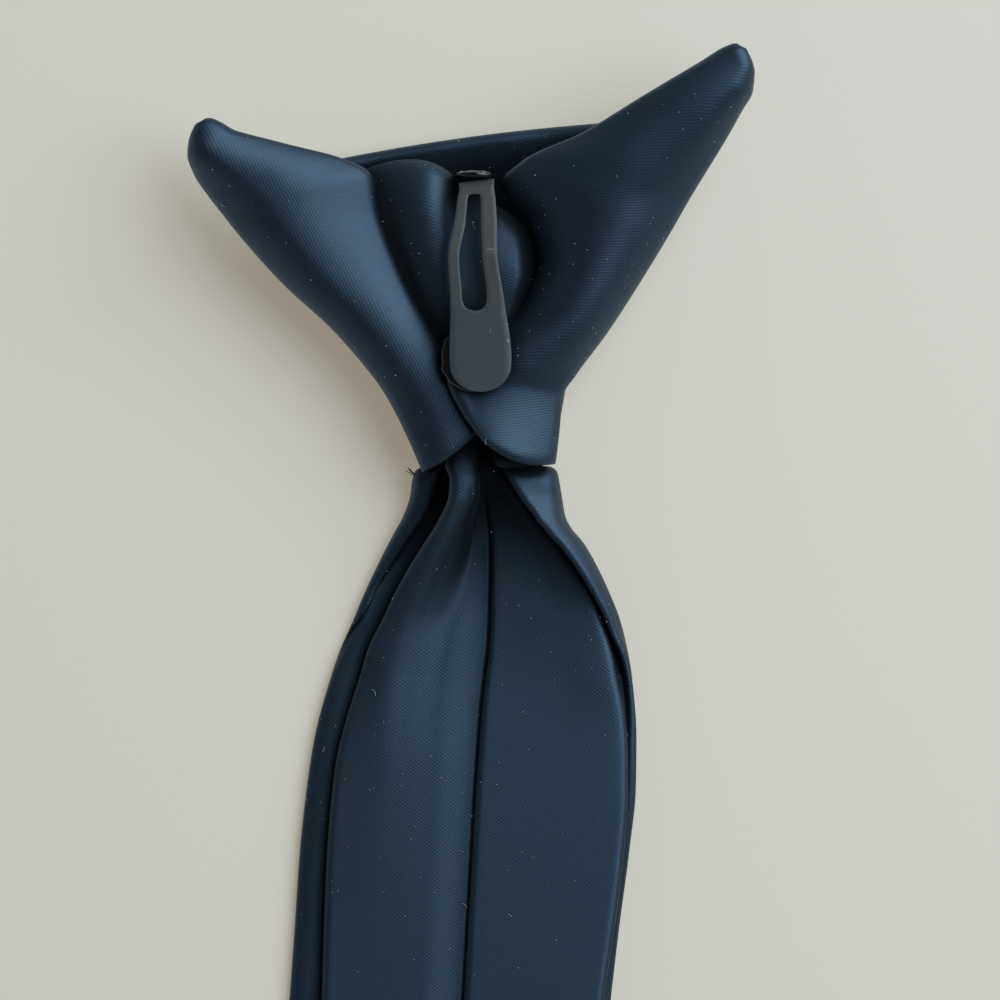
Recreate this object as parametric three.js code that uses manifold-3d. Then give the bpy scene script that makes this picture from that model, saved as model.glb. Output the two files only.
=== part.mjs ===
// A clip-on necktie lying face down: a ready-made knot with two wings, a slotted spring clip on
// its back, a wide front blade and a narrower tail. X runs across the tie, Y from the point of
// the blade up to the knot, Z up from the table. Lengths are millimetres.
import * as THREE from "three";
import { mergeVertices } from "three/addons/utils/BufferGeometryUtils.js";
import Module from "manifold-3d";

// Whole tie
const TIE_LENGTH = 500; // top of the right wing to the point of the front blade
const CLEARANCE = 0.35; // between neighbouring pieces

// Knot
const KNOT_DEPTH = 18; // table to the back of the overlapping lapels
const KNOT_HEIGHT = 57.6; // throat to the top edge of the front panel
const KNOT_TOP_WIDTH = 50; // front panel at its top edge
const THROAT_WIDTH = 24; // outside of the front panel at its bottom edge
const WRAP_PLY = 2.4; // folded cloth of the front panel
const FOLD_PLY = 2.4; // folded cloth between the wings
const LAPEL_PLY = 2; // wings where they overlap at the throat
const WING_PLY = 3.2; // padded part of the wings
const LEFT_WING_REACH = 53.5; // throat to the left tip, across
const LEFT_WING_RISE = KNOT_HEIGHT + 3.4; // throat to the left tip, just above the front panel
const RIGHT_WING_REACH = 47.5;
const RIGHT_WING_RISE = KNOT_HEIGHT + 16.9;

// Blades
const BLADE_WIDTH = 82; // front blade at its widest, above the point
const BLADE_SPREAD = 59; // front blade where its gathers have opened out
const BLADE_PLY = 2.6;
const TAIL_WIDTH = 51.5;
const TAIL_PLY = 2.4;
const TAIL_SHORTER = 112; // the tail's point lies this far above the blade's point
const GATHER_LENGTH = 97.2; // throat to where the gathers have opened out
const GATHER_RISE = 7; // highest gather above the bed of its blade
const LEAN = 0.1; // sideways drift of the blades for each millimetre down, where the gathers end
const SEAM_WIDTH = 0.7;
const SEAM_DEPTH = 0.8;
const FLAP_OPENING = 62; // length over which the back flaps part above a point
const FLAPS_APART = 0.42; // half the width left bare where they end, as a share of the blade's

// Clip
const CLIP_LENGTH = 38;
const CLIP_WIDTH = 11.1; // at the round grip end
const CLIP_GAUGE = 0.8;
const CLIP_DROP = 1.7; // the top end lies this much lower than the grip end
const CLIP_LEG = 7.5; // tongue that turns down into the knot
const CLIP_BEND_RADIUS = 1.3;
const CLIP_CORNER = 0.5; // rounding of the leaf's corners
const CLIP_EASING = 1.2; // half the length over which the leaf bends
const PAD_RADIUS = 6.3;
const PAD_THICKNESS = 1;
const PAD_CHAMFER = 0.3;
const PAD_ASIDE = 0.8; // its centre lies this far left of the leaf's
const LUG_WIDTH = 6.8;
const LUG_THICKNESS = 2.4;
const LUG_DOME = 2.2;
const LUG_BEVEL = 0.5;
const LUG_ASIDE = 0.5;

const CLOTH = { color: 0x10161f, roughness: 0.55, metalness: 0 };
const BLADE_CLOTH = { color: 0x121b27, roughness: 0.55, metalness: 0 };
const CLIP_STEEL = { color: 0x3c4449, roughness: 0.45, metalness: 0.6 };
const CLIP_PLASTIC = { color: 0x0b0c0e, roughness: 0.2, metalness: 0 };

const table = (columns, rows) =>
  rows.map((row) => Object.fromEntries(columns.map((name, i) => [name, row[i]])));

// Left wing from the throat to its tip. Places are shares of LEFT_WING_REACH and LEFT_WING_RISE,
// heights of KNOT_DEPTH. The crest is a share of the way from the outer to the inner edge, and
// pad goes from 0, lapel cloth, to 1, padded wing.
const LEFT_WING = table(
  ["outerX", "outerY", "innerX", "innerY", "outerZ", "crestZ", "innerZ", "crest", "pad"],
  [
    [-0.215, -0.032, -0.03, 0.08, 0.63, 0.77, 0.76, 0.55, 0],
    [-0.263, 0.059, -0.028, 0.171, 0.63, 0.79, 0.76, 0.5, 0.1],
    [-0.343, 0.198, -0.098, 0.26, 0.64, 0.82, 0.74, 0.45, 0.3],
    [-0.502, 0.375, -0.215, 0.413, 0.66, 0.88, 0.74, 0.42, 0.6],
    [-0.697, 0.537, -0.31, 0.578, 0.7, 0.95, 0.78, 0.4, 0.9],
    [-0.845, 0.684, -0.374, 0.743, 0.77, 1.03, 0.84, 0.38, 1],
    [-0.886, 0.729, -0.391, 0.838, 0.8, 1.06, 0.88, 0.38, 1],
    [-0.933, 0.782, -0.475, 0.876, 0.86, 1.1, 0.94, 0.38, 1],
    [-0.98, 0.844, -0.663, 0.92, 0.94, 1.16, 1.04, 0.4, 1],
    [-1, 0.9, -0.845, 0.97, 1.04, 1.2, 1.12, 0.45, 0.9],
    [-0.98, 0.968, -0.933, 1, 1.12, 1.18, 1.15, 0.5, 0.6],
  ],
);

// Right wing, which overlaps the left one at the throat. Places are shares of RIGHT_WING_REACH
// and RIGHT_WING_RISE.
const RIGHT_WING = table(
  ["outerX", "outerY", "innerX", "innerY", "outerZ", "crestZ", "innerZ", "crest", "pad"],
  [
    [0.246, -0.014, -0.004, 0.036, 0.62, 0.86, 0.88, 0.6, 0],
    [0.273, 0.072, -0.098, 0.114, 0.62, 0.88, 0.89, 0.6, 0],
    [0.284, 0.155, -0.155, 0.198, 0.63, 0.9, 0.89, 0.55, 0.1],
    [0.341, 0.213, -0.049, 0.261, 0.63, 0.92, 0.82, 0.45, 0.3],
    [0.455, 0.314, 0.133, 0.362, 0.65, 0.95, 0.66, 0.4, 0.6],
    [0.58, 0.44, 0.205, 0.488, 0.68, 1, 0.56, 0.35, 0.9],
    [0.686, 0.551, 0.155, 0.587, 0.73, 1.05, 0.56, 0.3, 1],
    [0.769, 0.64, 0.057, 0.671, 0.78, 1.1, 0.68, 0.27, 1],
    [0.83, 0.705, 0.125, 0.715, 0.84, 1.14, 0.8, 0.26, 1],
    [0.898, 0.778, 0.333, 0.775, 0.92, 1.2, 0.94, 0.26, 1],
    [0.958, 0.845, 0.58, 0.87, 1.02, 1.27, 1.1, 0.3, 1],
    [0.996, 0.889, 0.799, 0.954, 1.1, 1.3, 1.2, 0.35, 0.9],
    [1, 0.923, 0.89, 0.99, 1.17, 1.3, 1.24, 0.4, 0.8],
    [0.981, 0.961, 0.936, 1, 1.22, 1.28, 1.26, 0.5, 0.6],
  ],
);

// Folded cloth between the wings, from its tucked lower end to its top edge. Places are shares
// of KNOT_TOP_WIDTH and KNOT_HEIGHT, heights of KNOT_DEPTH, and bow is how far the middle of a
// section stands above the line between its ends, as a share of KNOT_TOP_WIDTH.
const CENTRE_FOLD = table(
  ["leftX", "leftY", "rightX", "rightY", "bow", "leftZ", "bulgeZ", "seatZ", "swellZ", "rightZ"],
  [
    [-0.183, 0.234, -0.032, 0.234, 0, 0.56, 0.58, 0.58, 0.58, 0.56],
    [-0.227, 0.359, 0.065, 0.359, 0, 0.56, 0.68, 0.7, 0.68, 0.52],
    [-0.306, 0.475, 0.133, 0.463, 0, 0.57, 0.76, 0.77, 0.74, 0.46],
    [-0.385, 0.619, 0.191, 0.588, 0.01, 0.58, 0.82, 0.8, 0.78, 0.42],
    [-0.432, 0.766, 0.191, 0.669, 0.04, 0.6, 0.86, 0.8, 0.78, 0.4],
    [-0.45, 0.875, 0.169, 0.703, 0.09, 0.62, 0.82, 0.74, 0.68, 0.38],
    [-0.453, 0.906, 0.155, 0.716, 0.105, 0.6, 0.72, 0.64, 0.58, 0.36],
  ],
);

// How far the fold's edge bows out along its width, as a share of its largest bow. It dips where
// the clip's lug stands.
const FOLD_BOW = table(
  ["across", "share"],
  [
    [0, 0],
    [0.19, 0.74],
    [0.35, 1],
    [0.45, 0.93],
    [0.53, 0.6],
    [0.64, 0.44],
    [0.8, 0.34],
    [1, 0],
  ],
);

// Gathers of the front blade below the knot. Rows run down from the throat: y is a share of
// GATHER_LENGTH, left and right are edges as shares of BLADE_SPREAD, rolls are the widths of the
// raised edges as shares of the section, rises are shares of GATHER_RISE, and lift goes from 1,
// held up in the throat, to 0, flat on the table.
const GATHER_COLUMNS = [
  "y",
  "left",
  "right",
  "leftRoll",
  "leftRise",
  "rightRoll",
  "rightRise",
  "lift",
];
const BLADE_GATHERS = table(GATHER_COLUMNS, [
  [0.024, -0.2, 0.208, 0.26, 0.72, 0.38, 0.72, 1],
  [0.046, -0.226, 0.216, 0.23, 0.82, 0.38, 0.82, 0.98],
  [0.074, -0.226, 0.22, 0.2, 0.9, 0.36, 0.92, 0.95],
  [0.111, -0.25, 0.232, 0.17, 0.95, 0.3, 0.97, 0.87],
  [0.167, -0.302, 0.314, 0.15, 0.78, 0.23, 0.84, 0.72],
  [0.259, -0.378, 0.399, 0.13, 0.56, 0.16, 0.64, 0.48],
  [0.352, -0.445, 0.436, 0.11, 0.37, 0.13, 0.45, 0.3],
  [0.444, -0.5, 0.454, 0.1, 0.2, 0.12, 0.28, 0.16],
  [0.537, -0.534, 0.46, 0.1, 0.09, 0.12, 0.15, 0.07],
  [0.63, -0.555, 0.457, 0.1, 0.03, 0.12, 0.06, 0.02],
  [0.815, -0.585, 0.424, 0.1, 0, 0.12, 0.01, 0],
  [1, -0.61, 0.381, 0.1, 0, 0.12, 0, 0],
]);

// Gathers of the tail, whose edges are shares of TAIL_WIDTH.
const TAIL_GATHERS = table(GATHER_COLUMNS, [
  [0.024, -0.12, 0.066, 0.54, 0.68, 0.3, 0.6, 1],
  [0.046, -0.133, 0.058, 0.52, 0.74, 0.3, 0.66, 0.98],
  [0.074, -0.143, 0.115, 0.42, 0.8, 0.26, 0.7, 0.95],
  [0.12, -0.189, 0.185, 0.36, 0.74, 0.25, 0.66, 0.86],
  [0.167, -0.245, 0.252, 0.33, 0.64, 0.25, 0.6, 0.72],
  [0.259, -0.35, 0.367, 0.29, 0.44, 0.33, 0.46, 0.48],
  [0.352, -0.434, 0.441, 0.25, 0.24, 0.37, 0.32, 0.3],
  [0.444, -0.493, 0.476, 0.22, 0.1, 0.36, 0.19, 0.16],
  [0.537, -0.528, 0.493, 0.2, 0.03, 0.34, 0.08, 0.07],
  [0.63, -0.549, 0.491, 0.2, 0, 0.3, 0.02, 0.02],
  [0.815, -0.573, 0.458, 0.2, 0, 0.3, 0, 0],
  [1, -0.591, 0.409, 0.2, 0, 0.3, 0, 0],
]);

// Outline of the clip's leaf from its top end to where the round grip end starts, and of its
// slot. Along is a share of CLIP_LENGTH, centre and width are shares of CLIP_WIDTH.
const LEAF_OUTLINE = table(
  ["along", "centre", "width"],
  [
    [0, -0.06, 0.56],
    [0.35, -0.13, 0.79],
    [0.84, 0, 1],
  ],
);
const SLOT_OUTLINE = table(
  ["along", "centre", "width"],
  [
    [0.05, -0.1, 0.19],
    [0.36, -0.155, 0.38],
    [0.56, -0.08, 0.41],
  ],
);
const SLOT_END = 0.615; // share of CLIP_LENGTH

const wasm = await Module();
wasm.setup();

const lerp = THREE.MathUtils.lerp;
const smoothstep = THREE.MathUtils.smoothstep;

// A smooth curve through the points (knots[i], values[i]) that never overshoots a value.
function smoothThrough(knots, values) {
  const last = knots.length - 1;
  const gaps = knots.slice(1).map((knot, i) => knot - knots[i]);
  const rises = gaps.map((gap, i) => (values[i + 1] - values[i]) / gap);
  const slopes = values.map((_, i) => {
    if (i === 0) return rises[0];
    if (i === last) return rises[last - 1];
    if (rises[i - 1] * rises[i] <= 0) return 0;
    const before = 2 * gaps[i] + gaps[i - 1];
    const after = gaps[i] + 2 * gaps[i - 1];
    return (before + after) / (before / rises[i - 1] + after / rises[i]);
  });
  return (at) => {
    let i = 0;
    while (i < last - 1 && at > knots[i + 1]) i += 1;
    const t = THREE.MathUtils.clamp((at - knots[i]) / gaps[i], 0, 1);
    const inverse = 1 - t;
    return (
      (1 + 2 * t) * inverse * inverse * values[i] +
      t * inverse * inverse * gaps[i] * slopes[i] +
      t * t * (3 - 2 * t) * values[i + 1] +
      t * t * (t - 1) * gaps[i] * slopes[i + 1]
    );
  };
}

// Every column of a table as a smooth curve: over the column named by, or else evenly from 0 to 1.
function curvesOf(rows, by) {
  const knots = rows.map((row, i) => (by ? row[by] : i / (rows.length - 1)));
  const names = Object.keys(rows[0]);
  return Object.fromEntries(
    names.map((name) => [name, smoothThrough(knots, rows.map((row) => row[name]))]),
  );
}

// A closed mesh over rings of points, with its two end rings closed by strips. Each ring runs
// along the upper side from its first to its last column and back along the lower side.
function loft(rings, columns) {
  const count = rings[0].length;
  const points = rings.flat();
  const faces = [];
  for (let r = 0; r + 1 < rings.length; r += 1) {
    for (let i = 0; i < count; i += 1) {
      const a = r * count + i;
      const b = r * count + ((i + 1) % count);
      faces.push(a, b, b + count, a, b + count, a + count);
    }
  }
  const cap = (first, flip) => {
    for (let i = 0; i + 1 < columns; i += 1) {
      const top = first + i;
      const low = first + ((count - i) % count);
      const nextLow = first + count - i - 1;
      const corners = [
        [top, nextLow, top + 1],
        [top, low, nextLow],
      ];
      for (const [a, b, c] of corners) {
        if (a === b || b === c || a === c) continue;
        faces.push(...(flip ? [a, c, b] : [a, b, c]));
      }
    }
  };
  cap(0, false);
  cap((rings.length - 1) * count, true);
  const volume = new THREE.Vector3();
  let sixfold = 0;
  for (let i = 0; i < faces.length; i += 3) {
    const [a, b, c] = faces.slice(i, i + 3).map((at) => points[at]);
    sixfold += volume.crossVectors(a, b).dot(c);
  }
  if (sixfold < 0) faces.reverse();
  const geometry = new THREE.BufferGeometry().setFromPoints(points);
  geometry.setIndex(faces);
  return geometry;
}

const rounded = (share) => Math.sqrt(1 - (1 - Math.min(1, Math.max(0, share))) ** 2);

// Height of the highest point of the given meshes over (x, y) and just round it.
const ray = new THREE.Raycaster();
const LOOK_ROUND = 0.8;
function heightOver(meshes, x, y, reach = LOOK_ROUND) {
  const around = [
    [0, 0],
    [reach, 0],
    [-reach, 0],
    [0, reach],
    [0, -reach],
  ];
  let highest = -Infinity;
  for (const [dx, dy] of around) {
    ray.set(new THREE.Vector3(x + dx, y + dy, 1000), new THREE.Vector3(0, 0, -1));
    const hits = ray.intersectObjects(meshes, false);
    if (hits.length) highest = Math.max(highest, hits[0].point.z);
  }
  return highest;
}

// A piece of folded, padded cloth. surface(s, u) is its middle layer, with s along it and u
// across it, ply(s) its thickness, across(s) the columns of its grid, and below the meshes that
// it lies on. Its edges are round, and so is an end whose share of the ply is given as closed.
function cloth({ surface, ply, stations, across, below = [], sink = () => 0, ends, sideways }) {
  const rings = stations.map((s) => {
    const width = surface(s, 0).distanceTo(surface(s, 1));
    const half = ply(s) / 2;
    const startShare = ends.start ? rounded(s / ends.start) : 1;
    const finishShare = ends.finish ? rounded((1 - s) / ends.finish) : 1;
    const endShare = Math.max(0.22, Math.min(startShare, finishShare));
    const columns = across(s);
    const top = [];
    const low = [];
    for (const u of columns) {
      const fromEdge = (Math.min(u, 1 - u) * width) / (half * 1.3);
      const depth = half * endShare * rounded(fromEdge);
      const middle = surface(s, u);
      const out = sideways ? sideways(s, u) : new THREE.Vector3(0, 0, 1);
      const under = middle.clone().addScaledVector(out, -depth);
      const over = middle.clone().addScaledVector(out, depth);
      if (below.length) {
        const floor = heightOver(below, middle.x, middle.y) + CLEARANCE;
        under.z = Math.max(under.z, floor);
        over.z = Math.max(over.z, under.z + depth);
      }
      over.z -= sink(s, u) * rounded(fromEdge);
      top.push(over);
      low.push(under);
    }
    const inner = low.slice(1, -1).reverse();
    return [...top, ...inner];
  });
  return loft(rings, across(0).length);
}

// Columns across a plain cloth piece, closer together at its round edges.
function plainColumns(count) {
  return (width, half) => {
    const edge = (half * 1.3) / width;
    const inside = Array.from({ length: count }, (_, i) => lerp(edge, 1 - edge, i / (count - 1)));
    return [0, edge * 0.12, edge * 0.45, ...inside, 1 - edge * 0.45, 1 - edge * 0.12, 1];
  };
}

const evenly = (count) => Array.from({ length: count + 1 }, (_, i) => i / count);

function meshOf(name, geometry, finish) {
  geometry.computeVertexNormals();
  const mesh = new THREE.Mesh(geometry, new THREE.MeshStandardMaterial(finish));
  mesh.name = name;
  mesh.updateMatrixWorld(true);
  return mesh;
}

// A wing or lapel between its outer and inner edges, highest along its crest.
function wingMesh(name, rows, reach, rise, below) {
  const curve = curvesOf(rows);
  const surface = (s, u) => {
    const crest = curve.crest(s);
    const foot = u < crest ? curve.outerZ(s) : curve.innerZ(s);
    const away = u < crest ? (crest - u) / crest : (u - crest) / (1 - crest);
    const height = curve.crestZ(s) - (curve.crestZ(s) - foot) * away * away;
    return new THREE.Vector3(
      lerp(curve.outerX(s), curve.innerX(s), u) * reach,
      lerp(curve.outerY(s), curve.innerY(s), u) * rise,
      height * KNOT_DEPTH,
    );
  };
  const ply = (s) => lerp(LAPEL_PLY, WING_PLY, curve.pad(s));
  const columns = plainColumns(9);
  const across = (s) => columns(surface(s, 0).distanceTo(surface(s, 1)), ply(s) / 2);
  const stations = [0, 0.008, 0.025, ...evenly(22).slice(1, -1), 0.975, 0.992, 1];
  const ends = { start: 0.025, finish: 0.03 };
  return meshOf(name, cloth({ surface, ply, stations, across, below, ends }), CLOTH);
}

// The front panel of the knot: a wide trough of cloth that lies on its outer face, with its
// sides turned up towards the wings and its top edge curling up.
const PANEL_BOTTOM = { x: 0.4, y: -1.5, turn: 0.023 }; // centre and turn of the bottom edge
const PANEL_TOP = { x: -4.7, turn: 0.147 }; // centre and turn of the top edge
const PANEL_RIM = 0.56; // height of its sides, as a share of KNOT_DEPTH
const PANEL_CURL = 5.2; // rise of the top edge
const PANEL_ROUND = 2.9; // exponent of the trough's rounded section
const PANEL_BELLY = 0.35; // how little the bottom edge clears the table

function panelPlace(s, u) {
  const angle = (u - 0.5) * Math.PI;
  const side = Math.sign(Math.sin(angle)) * Math.abs(Math.sin(angle)) ** (2 / PANEL_ROUND);
  const bed = Math.abs(Math.cos(angle)) ** (2 / PANEL_ROUND);
  const half = (lerp(THROAT_WIDTH, KNOT_TOP_WIDTH, s) - WRAP_PLY) / 2;
  const turn = lerp(PANEL_BOTTOM.turn, PANEL_TOP.turn, s);
  const curl = PANEL_CURL * smoothstep(s, 0.72, 1.04) + PANEL_BELLY * (1 - smoothstep(s, 0, 0.3));
  const rim = PANEL_RIM * KNOT_DEPTH;
  return new THREE.Vector3(
    lerp(PANEL_BOTTOM.x, PANEL_TOP.x, s) + side * half * Math.cos(turn),
    lerp(PANEL_BOTTOM.y, KNOT_HEIGHT, s) + side * half * Math.sin(turn),
    lerp(rim, WRAP_PLY / 2 + curl, bed),
  );
}

function frontPanelMesh() {
  const step = 1e-3;
  const outward = (s, u) => {
    const low = THREE.MathUtils.clamp(u, step, 1 - step);
    const along = panelPlace(Math.min(1, s + step), low).sub(panelPlace(Math.max(0, s - step), low));
    const aside = panelPlace(s, low + step).sub(panelPlace(s, low - step));
    return new THREE.Vector3().crossVectors(aside, along).normalize();
  };
  const ply = (s) => WRAP_PLY * lerp(1, 1.25, smoothstep(s, 0.86, 1));
  const columns = () => [0, 0.015, ...evenly(18).slice(1, -1), 0.985, 1];
  const stations = [0, 0.006, 0.02, ...evenly(12).slice(1, -1), 0.975, 0.993, 1];
  const geometry = cloth({
    surface: panelPlace,
    ply,
    stations,
    across: columns,
    ends: { start: 0.02, finish: 0.028 },
    sideways: outward,
  });
  return meshOf("knot_front", geometry, CLOTH);
}

// The two blades. Their gathers follow a table, their hidden necks the inside of the throat, and
// their runs widen to the shoulders of a right-angled point. The back flaps meet in a seam that
// opens above the point.
const THROAT_INSIDE = THROAT_WIDTH - 2 * WRAP_PLY - 2 * CLEARANCE;
const THROAT_CENTRE = PANEL_BOTTOM.x;
const THROAT_EXIT = PANEL_BOTTOM.y - CLEARANCE;
const NECK_TOP = CENTRE_FOLD[0].leftY * KNOT_HEIGHT - CLEARANCE; // just below the centre fold
const NECK_EASE = 1; // narrowing of the front blade where the panel's corners are round
const TAIL_NECK = 0.56; // width of the tail's neck, as a share of the front blade's
const NECK_RISE = 0.62; // share of GATHER_RISE inside the knot

// A raised edge: 0.35 at the very edge, 1 on its crest, 0 where it meets the bed.
const rollShape = (share) =>
  share < 0.42 ? lerp(0.35, 1, smoothstep(share, 0, 0.42)) : 1 - smoothstep(share, 0.42, 1);

function bladeRows({ gathers, width, neck, end, shoulder }) {
  const rows = gathers.map((row) => ({
    ...row,
    y: -row.y * GATHER_LENGTH,
    left: row.left * width,
    right: row.right * width,
  }));
  const neckRows = [1, 0.6, 0.3, 0].map((share) => ({
    ...gathers[0],
    y: lerp(THROAT_EXIT, NECK_TOP, share),
    left: THROAT_CENTRE - neck / 2,
    right: THROAT_CENTRE + neck / 2,
    leftRoll: 0.3,
    rightRoll: 0.35,
    leftRise: NECK_RISE,
    rightRise: NECK_RISE,
    lift: 1,
  }));
  const last = rows[rows.length - 1];
  const centre = (last.left + last.right) / 2;
  const runLength = last.y - end;
  const point = shoulder / 2;
  const run = [0.15, 0.35, 0.6, 0.8].map((share) => share * (runLength - point));
  const drift = (down) => -LEAN * (down - (down * down) / (2 * runLength));
  const flat = (down, half) => ({
    ...last,
    y: last.y - down,
    left: centre + drift(down) - half,
    right: centre + drift(down) + half,
  });
  const startHalf = (last.right - last.left) / 2;
  const widening = (down) => lerp(startHalf, shoulder / 2, down / (runLength - point));
  const runRows = run.map((down) => flat(down, widening(down)));
  const tipHalf = 1.2;
  const shoulders = [
    flat(runLength - point - 1.5, shoulder / 2 - 0.1),
    flat(runLength - point + 1, shoulder / 2 - 1),
    flat(runLength - tipHalf, tipHalf),
  ];
  return [...neckRows, ...rows, ...runRows, ...shoulders];
}

function bladeMesh({ name, gathers, ply, shoulder, below, bedInKnot, bedFlat, ...run }) {
  const rows = bladeRows({ gathers, shoulder, ...run });
  const places = rows.map((row) => row.y);
  const downwards = rows.map((row) => ({ ...row, down: places[0] - row.y }));
  const curve = curvesOf(downwards, "down");
  const length = places[0] - places[places.length - 1];
  const point = shoulder / 2;
  const widthAt = (s) => curve.right(s * length) - curve.left(s * length);
  const surface = (s, u) => {
    const down = s * length;
    const bed = lerp(bedFlat, bedInKnot, curve.lift(down));
    const left = curve.leftRise(down) * rollShape(u / curve.leftRoll(down));
    const right = curve.rightRise(down) * rollShape((1 - u) / curve.rightRoll(down));
    const x = lerp(curve.left(down), curve.right(down), u);
    return new THREE.Vector3(x, places[0] - down, bed + GATHER_RISE * Math.max(left, right));
  };
  const edgeShare = (s) => Math.min(0.15, (ply * 0.65) / widthAt(s));
  const seamShare = (s) => {
    const toPoint = (1 - s) * length;
    const parted = FLAPS_APART * smoothstep(point + FLAP_OPENING - toPoint, 0, FLAP_OPENING);
    return Math.min(SEAM_WIDTH / 2 / widthAt(s) + parted, 0.5 - 2 * edgeShare(s));
  };
  const across = (s) => {
    const edge = edgeShare(s);
    const seam = seamShare(s);
    const beside = Math.min(seam + SEAM_WIDTH / widthAt(s), 0.5 - 1.3 * edge);
    const flat = [0, 0.22, 0.46, 0.72, 1].map((share) => lerp(edge, 0.5 - beside, share));
    const all = [0, edge * 0.3, ...flat, 0.5 - seam];
    return [...all, ...all.map((u) => 1 - u).reverse()];
  };
  const sink = (s, u) => (Math.abs(u - 0.5) <= seamShare(s) + 1e-6 ? SEAM_DEPTH : 0);
  const exitShare = (places[0] - THROAT_EXIT) / length;
  const openShare = (places[0] + gathers[0].y * GATHER_LENGTH) / length;
  const gatherShare = (places[0] + GATHER_LENGTH) / length;
  const stations = [
    ...evenly(4).map((share) => share * exitShare),
    ...evenly(24).map((share) => lerp(openShare, gatherShare, share ** 1.4)),
    ...[0.12, 0.3, 0.5, 0.68].map((share) => lerp(gatherShare, 1 - point / length, share)),
    ...[0.82, 0.91, 0.97].map((share) => lerp(gatherShare, 1 - point / length, share)),
    1 - (point + 0.5) / length,
    ...[0.85, 0.6, 0.35, 0.15, 0.04].map((share) => 1 - (share * point) / length),
    1,
  ];
  const ends = { start: 0, finish: 2 / length };
  const geometry = cloth({
    surface,
    ply: () => ply,
    stations,
    across,
    below,
    sink,
    ends,
  });
  return meshOf(name, geometry, BLADE_CLOTH);
}

// The fold of cloth between the wings. It bulges either side of the clip's seat.
function centreFoldMesh(below) {
  const curve = curvesOf(CENTRE_FOLD);
  const bowShare = curvesOf(FOLD_BOW, "across").share;
  const surface = (s, u) => {
    const from = new THREE.Vector2(curve.leftX(s) * KNOT_TOP_WIDTH, curve.leftY(s) * KNOT_HEIGHT);
    const to = new THREE.Vector2(curve.rightX(s) * KNOT_TOP_WIDTH, curve.rightY(s) * KNOT_HEIGHT);
    const bow = bowShare(u) * curve.bow(s) * KNOT_TOP_WIDTH;
    const chord = to.clone().sub(from).normalize();
    const place = from.clone().lerp(to, u);
    const heights = ["leftZ", "bulgeZ", "seatZ", "swellZ", "rightZ"].map((name) => curve[name](s));
    const height = smoothThrough([0, 0.42, 0.64, 0.82, 1], heights)(u);
    return new THREE.Vector3(
      place.x - chord.y * bow,
      place.y + chord.x * bow,
      height * KNOT_DEPTH,
    );
  };
  const columns = plainColumns(13);
  const across = (s) => columns(surface(s, 0).distanceTo(surface(s, 1)), FOLD_PLY / 2);
  const stations = [...evenly(14).slice(0, -1), 0.96, 0.988, 1];
  const ends = { start: 0, finish: 0.05 };
  const ply = () => FOLD_PLY;
  return meshOf("center_fold", cloth({ surface, ply, stations, across, below, ends }), CLOTH);
}

function solidOf(geometry) {
  const plain = geometry.clone();
  plain.deleteAttribute("normal");
  plain.deleteAttribute("uv");
  const merged = mergeVertices(plain, 1e-4);
  const vertProperties = new Float32Array(merged.attributes.position.array);
  const triVerts = new Uint32Array(merged.index.array);
  return new wasm.Manifold(new wasm.Mesh({ numProp: 3, vertProperties, triVerts }));
}

function geometryOf(solid) {
  const mesh = solid.getMesh();
  const geometry = new THREE.BufferGeometry();
  geometry.setAttribute("position", new THREE.BufferAttribute(mesh.vertProperties, 3));
  geometry.setIndex(new THREE.BufferAttribute(mesh.triVerts, 1));
  return geometry;
}

// Where the clip sits on the knot.
const CLIP_X = -0.05 * THROAT_WIDTH;
const CLIP_TOP = 0.872 * KNOT_HEIGHT;
const CLIP_BEND = 0.355; // share of CLIP_LENGTH below the top end
const CLIP_END_Y = CLIP_TOP - CLIP_LENGTH;
const GRIP_Y = CLIP_TOP - LEAF_OUTLINE[2].along * CLIP_LENGTH;

const leafX = (centre) => CLIP_X + centre * CLIP_WIDTH;
const leafY = (along) => CLIP_TOP - along * CLIP_LENGTH;

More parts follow.
